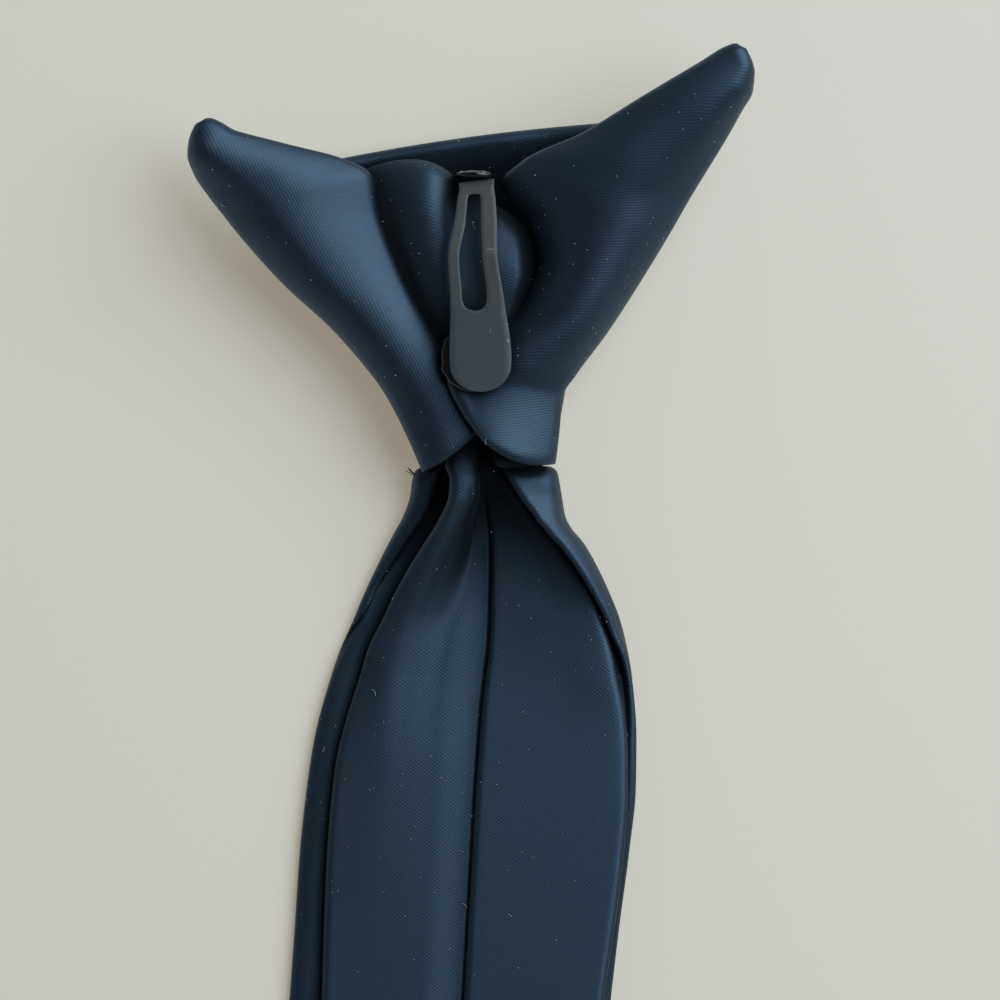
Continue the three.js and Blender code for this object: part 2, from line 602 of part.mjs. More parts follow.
// The leaf seen from above: straight tapering sides, a round grip end and a tapering slot.
function leafOutline() {
  const [top, bend, grip] = LEAF_OUTLINE;
  const side = (row, way) => leafX(row.centre + (way * row.width) / 2);
  const shape = new THREE.Shape();
  const corner = CLIP_CORNER;
  shape.moveTo(side(top, -1) + corner, leafY(0));
  shape.quadraticCurveTo(side(top, -1), leafY(0), side(top, -1), leafY(0) - corner);
  shape.lineTo(side(bend, -1), leafY(bend.along));
  shape.lineTo(side(grip, -1), leafY(grip.along));
  const gripHeight = (1 - grip.along) * CLIP_LENGTH;
  shape.absellipse(leafX(0), GRIP_Y, CLIP_WIDTH / 2, gripHeight, Math.PI, 2 * Math.PI, false, 0);
  shape.lineTo(side(bend, 1), leafY(bend.along));
  shape.lineTo(side(top, 1), leafY(0) - corner);
  shape.quadraticCurveTo(side(top, 1), leafY(0), side(top, 1) - corner, leafY(0));
  const [slotTop, slotBend, slotLow] = SLOT_OUTLINE;
  const slot = new THREE.Path();
  const slotRound = (SLOT_END - slotLow.along) * CLIP_LENGTH;
  slot.moveTo(side(slotTop, -1) + corner, leafY(slotTop.along));
  slot.lineTo(side(slotTop, 1) - corner, leafY(slotTop.along));
  slot.quadraticCurveTo(
    side(slotTop, 1),
    leafY(slotTop.along),
    side(slotTop, 1),
    leafY(slotTop.along) - corner,
  );
  slot.lineTo(side(slotBend, 1), leafY(slotBend.along));
  slot.lineTo(side(slotLow, 1), leafY(slotLow.along));
  slot.absellipse(
    leafX(slotLow.centre),
    leafY(slotLow.along),
    (slotLow.width * CLIP_WIDTH) / 2,
    slotRound,
    0,
    Math.PI,
    true,
    0,
  );
  slot.lineTo(side(slotBend, -1), leafY(slotBend.along));
  slot.lineTo(side(slotTop, -1), leafY(slotTop.along) - corner);
  shape.holes.push(slot);
  return shape;
}

// The leaf from the side, as points (y, z) of its middle line with the grip end at height 0:
// level to the bend, sloping down to the top, then turning down into the knot.
function leafLine() {
  const bendY = leafY(CLIP_BEND);
  const slope = CLIP_DROP / (CLIP_TOP - bendY);
  const hookY = CLIP_TOP - CLIP_GAUGE / 2 - CLIP_BEND_RADIUS;
  const hookZ = -slope * (hookY - bendY) - CLIP_BEND_RADIUS;
  const easing = CLIP_EASING;
  const line = [
    [CLIP_END_Y - CLIP_GAUGE, 0],
    [bendY - easing, 0],
    [bendY, (-slope * easing) / 4],
    [bendY + easing, -slope * easing],
  ];
  const lean = Math.atan(slope);
  for (const turn of [1, 0.8, 0.6, 0.4, 0.2, 0]) {
    const angle = turn * (Math.PI / 2 - lean);
    line.push([
      hookY + CLIP_BEND_RADIUS * Math.cos(angle),
      hookZ + CLIP_BEND_RADIUS * Math.sin(angle),
    ]);
  }
  line.push([hookY + CLIP_BEND_RADIUS, hookZ - CLIP_LEG]);
  return line.map(([y, z]) => new THREE.Vector2(y, z));
}

function thickened(line, gauge) {
  const sides = [1, -1].map((way) =>
    line.map((point, i) => {
      const before = line[Math.max(0, i - 1)];
      const after = line[Math.min(line.length - 1, i + 1)];
      const along = after.clone().sub(before).normalize();
      return new THREE.Vector2(
        point.x - (along.y * way * gauge) / 2,
        point.y + (along.x * way * gauge) / 2,
      );
    }),
  );
  return new THREE.Shape([...sides[0], ...sides[1].reverse()]);
}

function leafMesh(height) {
  const tall = 60;
  const plan = new THREE.ExtrudeGeometry(leafOutline(), {
    depth: tall,
    bevelEnabled: false,
    curveSegments: 10,
  });
  plan.translate(0, 0, -tall / 2);
  const wide = 2 * CLIP_WIDTH;
  const profile = new THREE.ExtrudeGeometry(thickened(leafLine(), CLIP_GAUGE), {
    depth: wide,
    bevelEnabled: false,
  });
  const across = new THREE.Vector3(1, 0, 0);
  const up = new THREE.Vector3(0, 0, 1);
  profile.translate(0, 0, -wide / 2);
  profile.applyMatrix4(new THREE.Matrix4().makeBasis(new THREE.Vector3(0, 1, 0), up, across));
  profile.translate(CLIP_X, 0, 0);
  const geometry = geometryOf(solidOf(profile).intersect(solidOf(plan)));
  geometry.translate(0, 0, height);
  return meshOf("clip_leaf", geometry, CLIP_STEEL);
}

// How high the leaf's grip end has to be to clear the cloth under the whole of it.
function leafHeight(below) {
  const line = leafLine();
  const rise = smoothThrough(
    line.slice(0, 5).map((point) => point.x),
    line.slice(0, 5).map((point) => point.y),
  );
  let height = 0;
  for (let y = CLIP_END_Y; y <= CLIP_TOP - 2 * CLIP_BEND_RADIUS; y += 0.5) {
    for (let x = -CLIP_WIDTH / 2; x <= CLIP_WIDTH / 2; x += 0.6) {
      const onPad = Math.hypot(x, y - GRIP_Y) < PAD_RADIUS;
      const packing = onPad ? PAD_THICKNESS + CLEARANCE : 0;
      const cloths = heightOver(below, CLIP_X + x, y, 0.1);
      height = Math.max(height, cloths + packing + CLEARANCE + CLIP_GAUGE / 2 - rise(y));
    }
  }
  return height;
}

function padMesh(height) {
  const top = height - CLIP_GAUGE / 2 - CLEARANCE;
  const chamfer = PAD_CHAMFER;
  const profile = [
    [0, 0],
    [PAD_RADIUS - chamfer, 0],
    [PAD_RADIUS, chamfer],
    [PAD_RADIUS, PAD_THICKNESS - chamfer],
    [PAD_RADIUS - chamfer, PAD_THICKNESS],
    [0, PAD_THICKNESS],
  ].map(([r, z]) => new THREE.Vector2(r, z));
  const geometry = new THREE.LatheGeometry(profile, 28);
  geometry.rotateX(Math.PI / 2);
  geometry.translate(CLIP_X - PAD_ASIDE, GRIP_Y, top - PAD_THICKNESS);
  return meshOf("clip_pad", geometryOf(solidOf(geometry)), CLIP_PLASTIC);
}

// The plastic lug that carries the leaf: it stands on the inside of the front panel, close
// behind the leaf's tongue, and its rounded head shows above the leaf.
function lugMesh(height, below) {
  const near = CLIP_TOP + CLEARANCE;
  const far = near + LUG_THICKNESS;
  const centre = leafX(LEAF_OUTLINE[0].centre) - LUG_ASIDE;
  const head = height - CLIP_DROP + CLIP_GAUGE / 2;
  let foot = 0;
  for (let x = -LUG_WIDTH / 2; x <= LUG_WIDTH / 2; x += LUG_WIDTH / 8) {
    for (let y = near; y <= far; y += LUG_THICKNESS / 4) {
      foot = Math.max(foot, heightOver(below, centre + x, y, 0.1) + CLEARANCE);
    }
  }
  const dome = LUG_DOME;
  const shape = new THREE.Shape();
  shape.moveTo(-LUG_WIDTH / 2, foot);
  shape.lineTo(LUG_WIDTH / 2, foot);
  shape.lineTo(LUG_WIDTH / 2, head - dome);
  shape.absellipse(0, head - dome, LUG_WIDTH / 2, dome, 0, Math.PI, false, 0);
  const bevel = LUG_BEVEL;
  const geometry = new THREE.ExtrudeGeometry(shape, {
    depth: LUG_THICKNESS - 2 * bevel,
    bevelThickness: bevel,
    bevelSize: bevel,
    bevelOffset: -bevel,
    bevelSegments: 2,
    curveSegments: 8,
  });
  geometry.rotateX(Math.PI / 2);
  geometry.translate(centre, far - bevel, 0);
  return meshOf("clip_lug", geometryOf(solidOf(geometry)), CLIP_PLASTIC);
}

const knotFront = frontPanelMesh();
const bladePoint = RIGHT_WING_RISE - TIE_LENGTH;
const frontBlade = bladeMesh({
  name: "front_blade",
  gathers: BLADE_GATHERS,
  width: BLADE_SPREAD,
  ply: BLADE_PLY,
  neck: THROAT_INSIDE - NECK_EASE,
  end: bladePoint,
  shoulder: BLADE_WIDTH,
  below: [knotFront],
  bedInKnot: WRAP_PLY + CLEARANCE + BLADE_PLY / 2,
  bedFlat: BLADE_PLY / 2,
});
const tail = bladeMesh({
  name: "tail_blade",
  gathers: TAIL_GATHERS,
  width: TAIL_WIDTH,
  ply: TAIL_PLY,
  neck: TAIL_NECK * (THROAT_INSIDE - NECK_EASE),
  end: bladePoint + TAIL_SHORTER,
  shoulder: TAIL_WIDTH,
  below: [knotFront, frontBlade],
  bedInKnot: WRAP_PLY + BLADE_PLY + 2 * CLEARANCE + TAIL_PLY / 2,
  bedFlat: BLADE_PLY + CLEARANCE + TAIL_PLY / 2,
});
const centreFold = centreFoldMesh([knotFront, frontBlade, tail]);
const inner = [knotFront, frontBlade, tail, centreFold];
const leftWing = wingMesh("wing_left", LEFT_WING, LEFT_WING_REACH, LEFT_WING_RISE, inner);
const beneath = [...inner, leftWing];
const rightWing = wingMesh("wing_right", RIGHT_WING, RIGHT_WING_REACH, RIGHT_WING_RISE, beneath);
const cloths = [centreFold, leftWing, rightWing];
const gripHeight = leafHeight(cloths);
const leaf = leafMesh(gripHeight);
const pad = padMesh(gripHeight);
const lug = lugMesh(gripHeight, [knotFront]);

// The origin is the middle of the tie's outline, on the table.
const tie = new THREE.Group();
tie.add(knotFront, frontBlade, tail, centreFold, leftWing, rightWing, leaf, pad, lug);
const outline = new THREE.Box3().setFromObject(tie);
const middle = outline.getCenter(new THREE.Vector3());
tie.position.set(-middle.x, -middle.y, -outline.min.z);

export default tie;
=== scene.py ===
import math

import bpy
import numpy as np
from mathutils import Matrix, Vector
from mathutils.bvhtree import BVHTree


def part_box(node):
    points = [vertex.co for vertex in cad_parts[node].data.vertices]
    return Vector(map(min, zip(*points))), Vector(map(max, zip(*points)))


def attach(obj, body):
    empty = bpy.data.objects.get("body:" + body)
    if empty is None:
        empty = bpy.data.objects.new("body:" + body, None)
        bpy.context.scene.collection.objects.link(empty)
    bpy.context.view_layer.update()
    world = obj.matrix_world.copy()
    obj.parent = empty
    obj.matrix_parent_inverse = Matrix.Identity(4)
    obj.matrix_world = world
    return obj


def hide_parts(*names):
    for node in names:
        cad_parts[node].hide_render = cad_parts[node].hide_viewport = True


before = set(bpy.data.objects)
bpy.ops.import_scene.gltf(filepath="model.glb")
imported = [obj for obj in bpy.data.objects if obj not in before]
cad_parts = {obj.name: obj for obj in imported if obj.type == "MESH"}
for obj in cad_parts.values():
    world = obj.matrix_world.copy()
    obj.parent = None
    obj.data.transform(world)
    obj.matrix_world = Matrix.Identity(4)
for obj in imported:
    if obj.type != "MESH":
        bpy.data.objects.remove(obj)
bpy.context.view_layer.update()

# The tie lies face down. Places on it are in millimetres from the throat, where the knot grips
# the blades: x across, y towards the top of the knot, z up from the table.
MM = 0.001
PAD_CENTRE = (-2.0, 18.3)
pad_low, pad_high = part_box("clip_pad")
THROAT = np.array(
    [
        (pad_low.x + pad_high.x) / 2 / MM - PAD_CENTRE[0],
        (pad_low.y + pad_high.y) / 2 / MM - PAD_CENTRE[1],
        0.0,
    ]
)
BLADE_TIP_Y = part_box("front_blade")[0].y / MM - THROAT[1]
TAIL_TIP_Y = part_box("tail_blade")[0].y / MM - THROAT[1]
NECK_TOP_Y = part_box("front_blade")[1].y / MM - THROAT[1]
LEAF_TOP_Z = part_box("clip_leaf")[1].z / MM
LEAF_TOP_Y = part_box("clip_leaf")[1].y / MM - THROAT[1]
LUG_LOW, LUG_HIGH = (np.array(corner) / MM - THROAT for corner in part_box("clip_lug"))
PAD_TOP_Z = pad_high.z / MM
PAD_LOW_Z = pad_low.z / MM
PAD_RADIUS = (pad_high.x - pad_low.x) / 2 / MM

# Half the thickness of the cloth in each place, and the gap between pieces.
WRAP_HALF = 1.2
BLADE_HALF = 1.3
FOLDED_HALF = 0.9
TAIL_HALF = 1.2
FOLD_HALF = 1.2
LAPEL_HALF = 1.0
WING_HALF = 1.6
CLEARANCE = 0.3


# Tables, curves and grids

def table(columns, *rows):
    return {name: np.array([row[i] for row in rows], float) for i, name in enumerate(columns.split())}


def smooth_curve(knots, values):
    """A curve through the points that never overshoots them."""
    knots, values = np.asarray(knots, float), np.asarray(values, float)
    gaps = np.diff(knots)
    rises = np.diff(values) / gaps
    slopes = np.empty_like(values)
    slopes[0], slopes[-1] = rises[0], rises[-1]
    before = 2 * gaps[1:] + gaps[:-1]
    after = gaps[1:] + 2 * gaps[:-1]
    same_way = rises[:-1] * rises[1:] > 0
    safe = np.where(same_way, rises[:-1], 1), np.where(same_way, rises[1:], 1)
    slopes[1:-1] = np.where(same_way, (before + after) / (before / safe[0] + after / safe[1]), 0)

    def at(place):
        place = np.clip(np.asarray(place, float), knots[0], knots[-1])
        i = np.clip(np.searchsorted(knots, place, side="right") - 1, 0, len(gaps) - 1)
        t = (place - knots[i]) / gaps[i]
        rest = 1 - t
        return (
            (1 + 2 * t) * rest * rest * values[i]
            + t * rest * rest * gaps[i] * slopes[i]
            + t * t * (3 - 2 * t) * values[i + 1]
            - t * t * rest * gaps[i] * slopes[i + 1]
        )

    return at


def curves(rows, by=None):
    """Each column of a table as a smooth curve, over the column named by or evenly from 0 to 1."""
    count = len(next(iter(rows.values())))
    knots = rows[by] if by else np.linspace(0, 1, count)
    return {name: smooth_curve(knots, values) for name, values in rows.items() if name != by}


def smoothstep(value, low, high):
    share = np.clip((np.asarray(value, float) - low) / (high - low), 0, 1)
    return share * share * (3 - 2 * share)


def mix(a, b, share):
    return a + (b - a) * share


def rounded(distance, radius):
    """The height of a round edge, from 0 on its line to 1 from radius inwards."""
    share = np.clip(distance / radius, 0, 1)
    return np.sqrt(np.clip(1 - (1 - share) ** 2, 0, 1))


def edge_spaced(length, radius, at_edges, inside):
    """Places from 0 to length, closer together towards both ends, as rows for an array of lengths."""
    length = np.atleast_1d(np.asarray(length, float))[:, None]
    radius = np.minimum(radius, length * 0.3)
    arc = 1 - np.cos(np.linspace(0, math.pi / 2, at_edges + 1))[None, :]
    middle = np.linspace(0, 1, inside + 2)[1:-1][None, :]
    start = radius * arc
    return np.concatenate([start, radius + (length - 2 * radius) * middle, (length - start)[:, ::-1]], 1)


def soft_waves(x, y, size, amount, seed):
    """Slow swells of a soft cloth: a few waves in directions drawn from a fixed seed."""
    draw = np.random.RandomState(seed)
    total = np.zeros(np.shape(x))
    for _ in range(6):
        angle, phase = draw.uniform(0, 2 * math.pi, 2)
        length = size * draw.uniform(0.6, 1.6)
        total += np.sin((x * math.cos(angle) + y * math.sin(angle)) * 2 * math.pi / length + phase)
    return total * amount / 3


def closest_end(share):
    """How far a share from 0 to 1 is from the nearer of the two."""
    return np.minimum(share, 1 - share)


def grid_normals(grid):
    normals = np.cross(np.gradient(grid, axis=1), np.gradient(grid, axis=0))
    return normals / np.maximum(np.linalg.norm(normals, axis=2, keepdims=True), 1e-9)


def blurred(values):
    padded = np.pad(values, 1, mode="edge")
    return (
        4 * padded[1:-1, 1:-1]
        + 2 * (padded[:-2, 1:-1] + padded[2:, 1:-1] + padded[1:-1, :-2] + padded[1:-1, 2:])
        + padded[:-2, :-2] + padded[2:, 2:] + padded[:-2, 2:] + padded[2:, :-2]
    ) / 16


def rest_on(grid, half, below, passes=24):
    """Lifts a cloth's middle layer smoothly until its underside clears the pieces below it."""
    need = np.zeros(half.shape)
    down = Vector((0, 0, -1))
    for place in np.ndindex(half.shape):
        x, y, z = grid[place]
        for tree in below:
            hit = tree.ray_cast(Vector((x, y, 90)), down)[0]
            if hit is not None:
                need[place] = max(need[place], hit.z + CLEARANCE + half[place] - z)
    lift = need
    for _ in range(passes):
        lift = np.maximum(blurred(lift), need)
    return grid + lift[..., None] * np.array([0, 0, 1.0])


# Meshes

def finished(piece, material, node=None):
    """Puts a piece in the scene with its material, on the one body of the tie."""
    piece.data.materials.clear()
    piece.data.materials.append(material)
    if piece.name not in bpy.context.scene.collection.objects:
        bpy.context.scene.collection.objects.link(piece)
    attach(piece, "root")
    if node:
        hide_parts(node)
    return piece


def mesh_object(name, places, faces, uv=None):
    """A smooth mesh from places in millimetres, with a UV map in millimetres for each face corner."""
    mesh = bpy.data.meshes.new(name)
    mesh.from_pydata(((np.asarray(places) + THROAT) * MM).tolist(), [], faces.tolist())
    mesh.polygons.foreach_set("use_smooth", np.ones(len(faces), bool))
    if uv is not None:
        layer = mesh.uv_layers.new(name="cloth")
        layer.data.foreach_set("uv", np.asarray(uv, np.float32).ravel())
    mesh.update()
    return bpy.data.objects.new(name, mesh)


def flat_cloth(grid, unroll):
    """Where each point of a draped grid lies on the flat cloth. unroll goes from 0, seen from
    above, to 1, with its rows laid out straight."""
    level = np.linalg.norm(np.diff(grid[..., :2], axis=1), axis=2)
    steps = mix(level, np.linalg.norm(np.diff(grid, axis=1), axis=2), unroll)
    along = np.concatenate([np.zeros((len(grid), 1)), np.cumsum(steps, axis=1)], axis=1)
    centre = grid.shape[1] // 2
    along -= along[:, centre : centre + 1]
    way = grid[:, -1, :2] - grid[:, 0, :2]
    way = way / np.maximum(np.linalg.norm(way, axis=1, keepdims=True), 1e-9)
    return grid[:, centre : centre + 1, :2] + along[..., None] * way[:, None, :]


def quads(index, reverse=False):
    """The faces between neighbours in a grid of vertex numbers."""
    second, last = index[:-1, 1:], index[1:, :-1]
    if reverse:
        second, last = last, second
    return np.stack([index[:-1, :-1], second, index[1:, 1:], last], -1).reshape(-1, 4)


class Cloth:
    """A closed piece of folded cloth: its middle layer as a grid, thick by half either side."""

    def __init__(self, name, grid, half, unroll=1):
        if grid_normals(grid)[..., 2].mean() < 0:
            grid, half = grid[::-1], half[::-1]
        half = half.copy()
        half[[0, -1], :] = 0
        half[:, [0, -1]] = 0
        rows, columns = half.shape
        out = grid_normals(grid)
        top = grid + out * half[..., None]
        low = grid - out * half[..., None]
        upper = np.arange(rows * columns).reshape(rows, columns)
        lower = upper.copy()
        lower[1:-1, 1:-1] = rows * columns + np.arange((rows - 2) * (columns - 2)).reshape(rows - 2, -1)
        self.places = np.concatenate([top.reshape(-1, 3), low[1:-1, 1:-1].reshape(-1, 3)])
        above = quads(upper)
        self.faces = np.concatenate([above, quads(lower, reverse=True)])
        spread = flat_cloth(grid, unroll).reshape(-1, 2)
        turned = spread * np.array([-1, 1])
        beneath = quads(upper, reverse=True)
        self.uv = np.concatenate([spread[above].reshape(-1, 2), turned[beneath].reshape(-1, 2)])
        self.name = name
        self.tree = BVHTree.FromPolygons(self.places.tolist(), self.faces.tolist())

    def object(self, name):
        return mesh_object(name, self.places, self.faces, self.uv)


# The front panel of the knot, a trough of cloth lying on its outer face

PANEL_BOTTOM = {"x": 0.1, "y": -0.3, "turn": 0.023, "width": 23.6}
PANEL_TOP = {"x": -3.9, "y": 58.45, "turn": 0.137, "width": 53.0}
PANEL_RIM = 10.1
PANEL_CURL = 5.2
PANEL_ROUND = 2.9
PANEL_BELLY = 0.1
PANEL_CORNER = 0.9


def knot_front():
    s = edge_spaced(1.0, 0.03, at_edges=8, inside=92)[0][:, None]
    u = edge_spaced(1.0, 0.025, at_edges=8, inside=102)[0][None, :]
    angle = (u - 0.5) * math.pi
    side = np.sign(np.sin(angle)) * np.abs(np.sin(angle)) ** (2 / PANEL_ROUND)
    bed = np.abs(np.cos(angle)) ** (2 / PANEL_ROUND)
    half_width = mix(PANEL_BOTTOM["width"], PANEL_TOP["width"], s) / 2 - WRAP_HALF
    turn = mix(PANEL_BOTTOM["turn"], PANEL_TOP["turn"], s)
    curl = PANEL_CURL * smoothstep(s, 0.72, 1.04) + PANEL_BELLY * (1 - smoothstep(s, 0, 0.3))
    x = mix(PANEL_BOTTOM["x"], PANEL_TOP["x"], s) + side * half_width * np.cos(turn)
    y = mix(PANEL_BOTTOM["y"], PANEL_TOP["y"], s) + side * half_width * np.sin(turn)
    y = y - PANEL_CORNER * side**2 * smoothstep(s, 0.6, 1)
    z = mix(PANEL_RIM, WRAP_HALF + curl, bed)
    z = z + np.abs(soft_waves(x, y, size=26, amount=0.12, seed=3)) * bed
    grid = np.stack(np.broadcast_arrays(x, y, z), -1)
    ply = WRAP_HALF * mix(1, 1.2, smoothstep(s, 0.86, 1))
    length = PANEL_TOP["y"] - PANEL_BOTTOM["y"]
    ends = rounded(closest_end(s) * length, radius=1.6)
    sides = rounded(closest_end(u), radius=0.022)
    return Cloth("knot_front", grid, ply * ends * sides)


# The front blade. Below the throat its borders turn up, and the right one folds over inwards.
# bed is the height of its middle layer. Each border turns up by an angle, to a height above the
# bed, and where it folds over, fold is its width seen from above.

NECK_END_Y = -0.9
GATHERS_TOP_Y = -1.4
GATHERS_END = -97.2
FRONT_ROWS = table(
    "y left right bed turn_left high_left fold_left turn_right high_right fold_right",
    (NECK_TOP_Y, -7.4, 8.3, 4.55, 160, 3.3, 3.2, 172, 5.2, 8.2),
    (4, -7.5, 8.5, 4.55, 160, 3.4, 3.6, 172, 5.4, 8.4),
    (NECK_END_Y, -7.7, 8.7, 4.5, 162, 3.5, 4.2, 172, 5.7, 8.6),
    (GATHERS_TOP_Y, -12.4, 12.4, 3.9, 164, 3.6, 5.0, 172, 5.9, 11.6),
    (-3.6, -13.6, 13.0, 3.2, 165, 3.6, 5.1, 170, 7.4, 10.2),
    (-6.5, -14.0, 13.5, 2.1, 165, 3.5, 4.6, 165, 8.5, 8.5),
    (-10.4, -15.3, 14.2, 1.5, 162, 3.1, 4.0, 158, 8.8, 5.6),
    (-12.8, -16.6, 15.4, 1.4, 160, 2.7, 3.6, 152, 8.4, 4.8),
    (-15.6, -18.1, 17.7, 1.35, 158, 2.2, 3.2, 145, 7.9, 4.5),
    (-19.8, -20.2, 20.1, 1.3, 154, 1.5, 2.5, 138, 7.0, 3.7),
    (-24.5, -22.4, 22.3, 1.3, 145, 0.8, 1.8, 130, 5.8, 3.0),
    (-28.8, -24.2, 24.0, 1.3, 100, 0.3, 1.4, 120, 4.6, 2.4),
    (-34.2, -26.6, 25.4, 1.3, 30, 0.05, 1.4, 100, 3.1, 1.9),
    (-39.6, -28.5, 26.3, 1.3, 4, 0, 1.4, 76, 2.0, 1.8),
    (-50.4, -31.4, 27.1, 1.3, 0, 0, 1.8, 38, 0.9, 1.8),
    (-59.4, -32.8, 27.0, 1.3, 0, 0, 1.8, 16, 0.4, 1.8),
    (-70.2, -34.0, 25.9, 1.3, 0, 0, 1.8, 5, 0.1, 1.8),
    (-84.6, -35.0, 24.0, 1.3, 0, 0, 1.8, 0, 0, 1.8),
    (GATHERS_END, -35.9, 22.5, 1.3, 0, 0, 1.8, 0, 0, 1.8),
)
BEND = 1.7
BLADE_EDGE = BLADE_HALF * 1.15
GRIPPED = 0.86  # how much of their size the turned-up borders keep under the knot
STEP_Y = -1.1  # the blade widens here, just below the knot, and its cloth is thinned by a share
STEP_FOOT_Y = -1.2
STEP_THINNED = 0.8
FINE_END_Y = -40.0  # rows lie closer together down to here
BLADE_WIDTH = 82.0
SEAM_HALF = 0.3
SEAM_DEPTH = 0.8
SEAM_FLOOR = 6
FLAP_OPENING = 62.0
FLAPS_APART = 0.42
LEAN = 0.1  # sideways drift of the blades per millimetre, where the gathers end
POINT_ROUND = 2.2
POINT_ROWS = 26

# Where points lie on a half section: on its level part, on the bend and on the turned-up part.
LEVEL_SHARE = np.concatenate([[0, 0.012, 0.03, 0.07], np.linspace(0.12, 0.96, 14)])
BEND_SHARE = np.linspace(0, 1, 17)
STAND_SHARE = np.concatenate(
    [np.linspace(0, 0.7, 6)[1:], 0.7 + 0.3 * np.sin(np.linspace(0, math.pi / 2, 7))[1:]]
)


def run_to_point(tip_y, left, right, shoulder_half, count):
    """The blade below its gathers: places down to its point, with its borders on both sides."""
    centre, start_half = (left + right) / 2, (right - left) / 2
    length = GATHERS_END - tip_y
    shoulder = length - shoulder_half
    slant = (1 - np.cos(np.linspace(0, math.pi / 2, POINT_ROWS)))[1:] ** 0.75
    down = np.concatenate([np.linspace(0, shoulder, count)[1:], shoulder + shoulder_half * slant])
    drift = -LEAN * (down - down**2 / (2 * length))
    straight = mix(start_half, shoulder_half, np.minimum(down / shoulder, 1))
    past = np.maximum(down - shoulder, 0)
    soft = np.clip((down - shoulder + POINT_ROUND) / (2 * POINT_ROUND), 0, 1)
    half = np.where(soft < 1, straight - POINT_ROUND * soft**2, straight - past)
    half = np.maximum(half, 0.25)
    return GATHERS_END - down, centre + drift - half, centre + drift + half


def blade_run(rows, near, tip_y, width, count):
    """Places down a whole blade, from near the throat to its point, and where its borders lie."""
    end = [float(rows[name](GATHERS_END)) for name in ("left", "right")]
    far, far_left, far_right = run_to_point(tip_y, *end, width / 2, count)
    left = np.concatenate([rows["left"](near), far_left])
    right = np.concatenate([rows["right"](near), far_right])
    return np.concatenate([near, far]), left, right


def round_ends(grid, half, tip_y, radius):
    """A blade's half thickness, rounded off at its hidden upper end and at its point."""
    to_end = np.minimum(NECK_TOP_Y - grid[..., 1], grid[..., 1] - tip_y)
    return half * rounded(to_end + 0.15, radius)


def border_bend(turn, high, fold):
    """Radius of a turned-up border's bend and the length beyond it, for its height and width."""
    tilt = math.radians(max(turn, 1.0))
    lip_radius = min(BEND, 0.3 + high) / tilt
    lip_stand = max(high - lip_radius * (1 - math.cos(tilt)), 0) / math.sin(tilt)
    if turn < 95:
        return lip_radius, lip_stand
    sine, cosine = math.sin(tilt), -math.cos(tilt)
    inside = fold - FOLDED_HALF
    radius = (high - inside * sine / cosine) / (1 + cosine - (1 - sine) * sine / cosine)
    stand = (inside - radius * (1 - sine)) / cosine
    folded = float(smoothstep(turn, 95, 112))
    return max(mix(lip_radius, radius, folded), 0.3), max(mix(lip_stand, stand, folded), 0.1)


def eased(values):
    """A row of values with its sharp changes rounded off."""
    window = np.hanning(21)[1:-1]
    return np.convolve(np.pad(values, 9, mode="edge"), window / window.sum(), "valid")


def border_profile(width, turn, radius, stand):
    """Half a section, from the middle out to a border that turns up: offsets, heights and half the
    thickness."""
    tilt = math.radians(max(turn, 1.0))
    bend_tilt = tilt * BEND_SHARE
    bend_out, bend_up = radius * np.sin(bend_tilt), radius * (1 - np.cos(bend_tilt))
    stand_out = bend_out[-1] + stand * STAND_SHARE * math.cos(tilt)
    stand_up = bend_up[-1] + stand * STAND_SHARE * math.sin(tilt)
    out = np.concatenate([bend_out, stand_out])
    up = np.concatenate([bend_up, stand_up])
    tilts = np.concatenate([bend_tilt, np.full(len(STAND_SHARE), tilt)])
    thinner = smoothstep(turn, 20, 70) * smoothstep(tilts, 0, 1.2)
    ply = mix(BLADE_HALF, FOLDED_HALF, thinner)
    to_border = np.concatenate([radius * (tilt - bend_tilt) + stand, stand * (1 - STAND_SHARE)])
    reach = np.max(out + ply * rounded(to_border, BLADE_EDGE) * np.sin(tilts))
    level = width - reach
    offsets = np.concatenate([level * LEVEL_SHARE, level + out])
    plies = np.concatenate([np.full(len(LEVEL_SHARE), BLADE_HALF), ply])
    return offsets, np.concatenate([0 * LEVEL_SHARE, up]), plies


def seam_places(y, tip_y, shoulder_half, width):
    """Half the width of the groove between the back flaps, which part above the point."""
    parted = smoothstep(tip_y + shoulder_half + FLAP_OPENING - y, 0, FLAP_OPENING)
    wide = SEAM_HALF + FLAPS_APART * width * parted
    return np.minimum(wide, 0.5 * width - np.minimum(2.6, 0.28 * width))


def border_bends(y, at, fade):
    """The bend and length of both turned-up borders at each place down the front blade."""
    bends = {}
    for name in ("left", "right"):
        given = zip(at["turn_" + name], at["high_" + name], at["fold_" + name])
        sizes = np.array([border_bend(*row) for row in given])
        soft = np.stack([eased(sizes[:, 0]), eased(sizes[:, 1])], 1)
        bends[name] = mix(sizes, soft, smoothstep(-y, 8, 15)[:, None]) * fade[:, None]
    return bends


def front_side(width, turn, bend):
    """Half a section of the front blade, from its seam out: offset, height, half thickness, dip."""
    out, up, ply = border_profile(width, turn, *bend)
    run = np.concatenate([[0], np.cumsum(np.hypot(np.diff(out), np.diff(up)))])
    cap = ply * rounded(run[-1] - run, min(BLADE_EDGE, 0.3 * run[-1]))
    return out, up, cap, SEAM_DEPTH * (1 - rounded(run, 0.5))


def across_seam(left, floor, right):
    """One line across a blade: its left half from the border in, its seam and its right half."""
    return np.concatenate([left[::-1], floor, right])


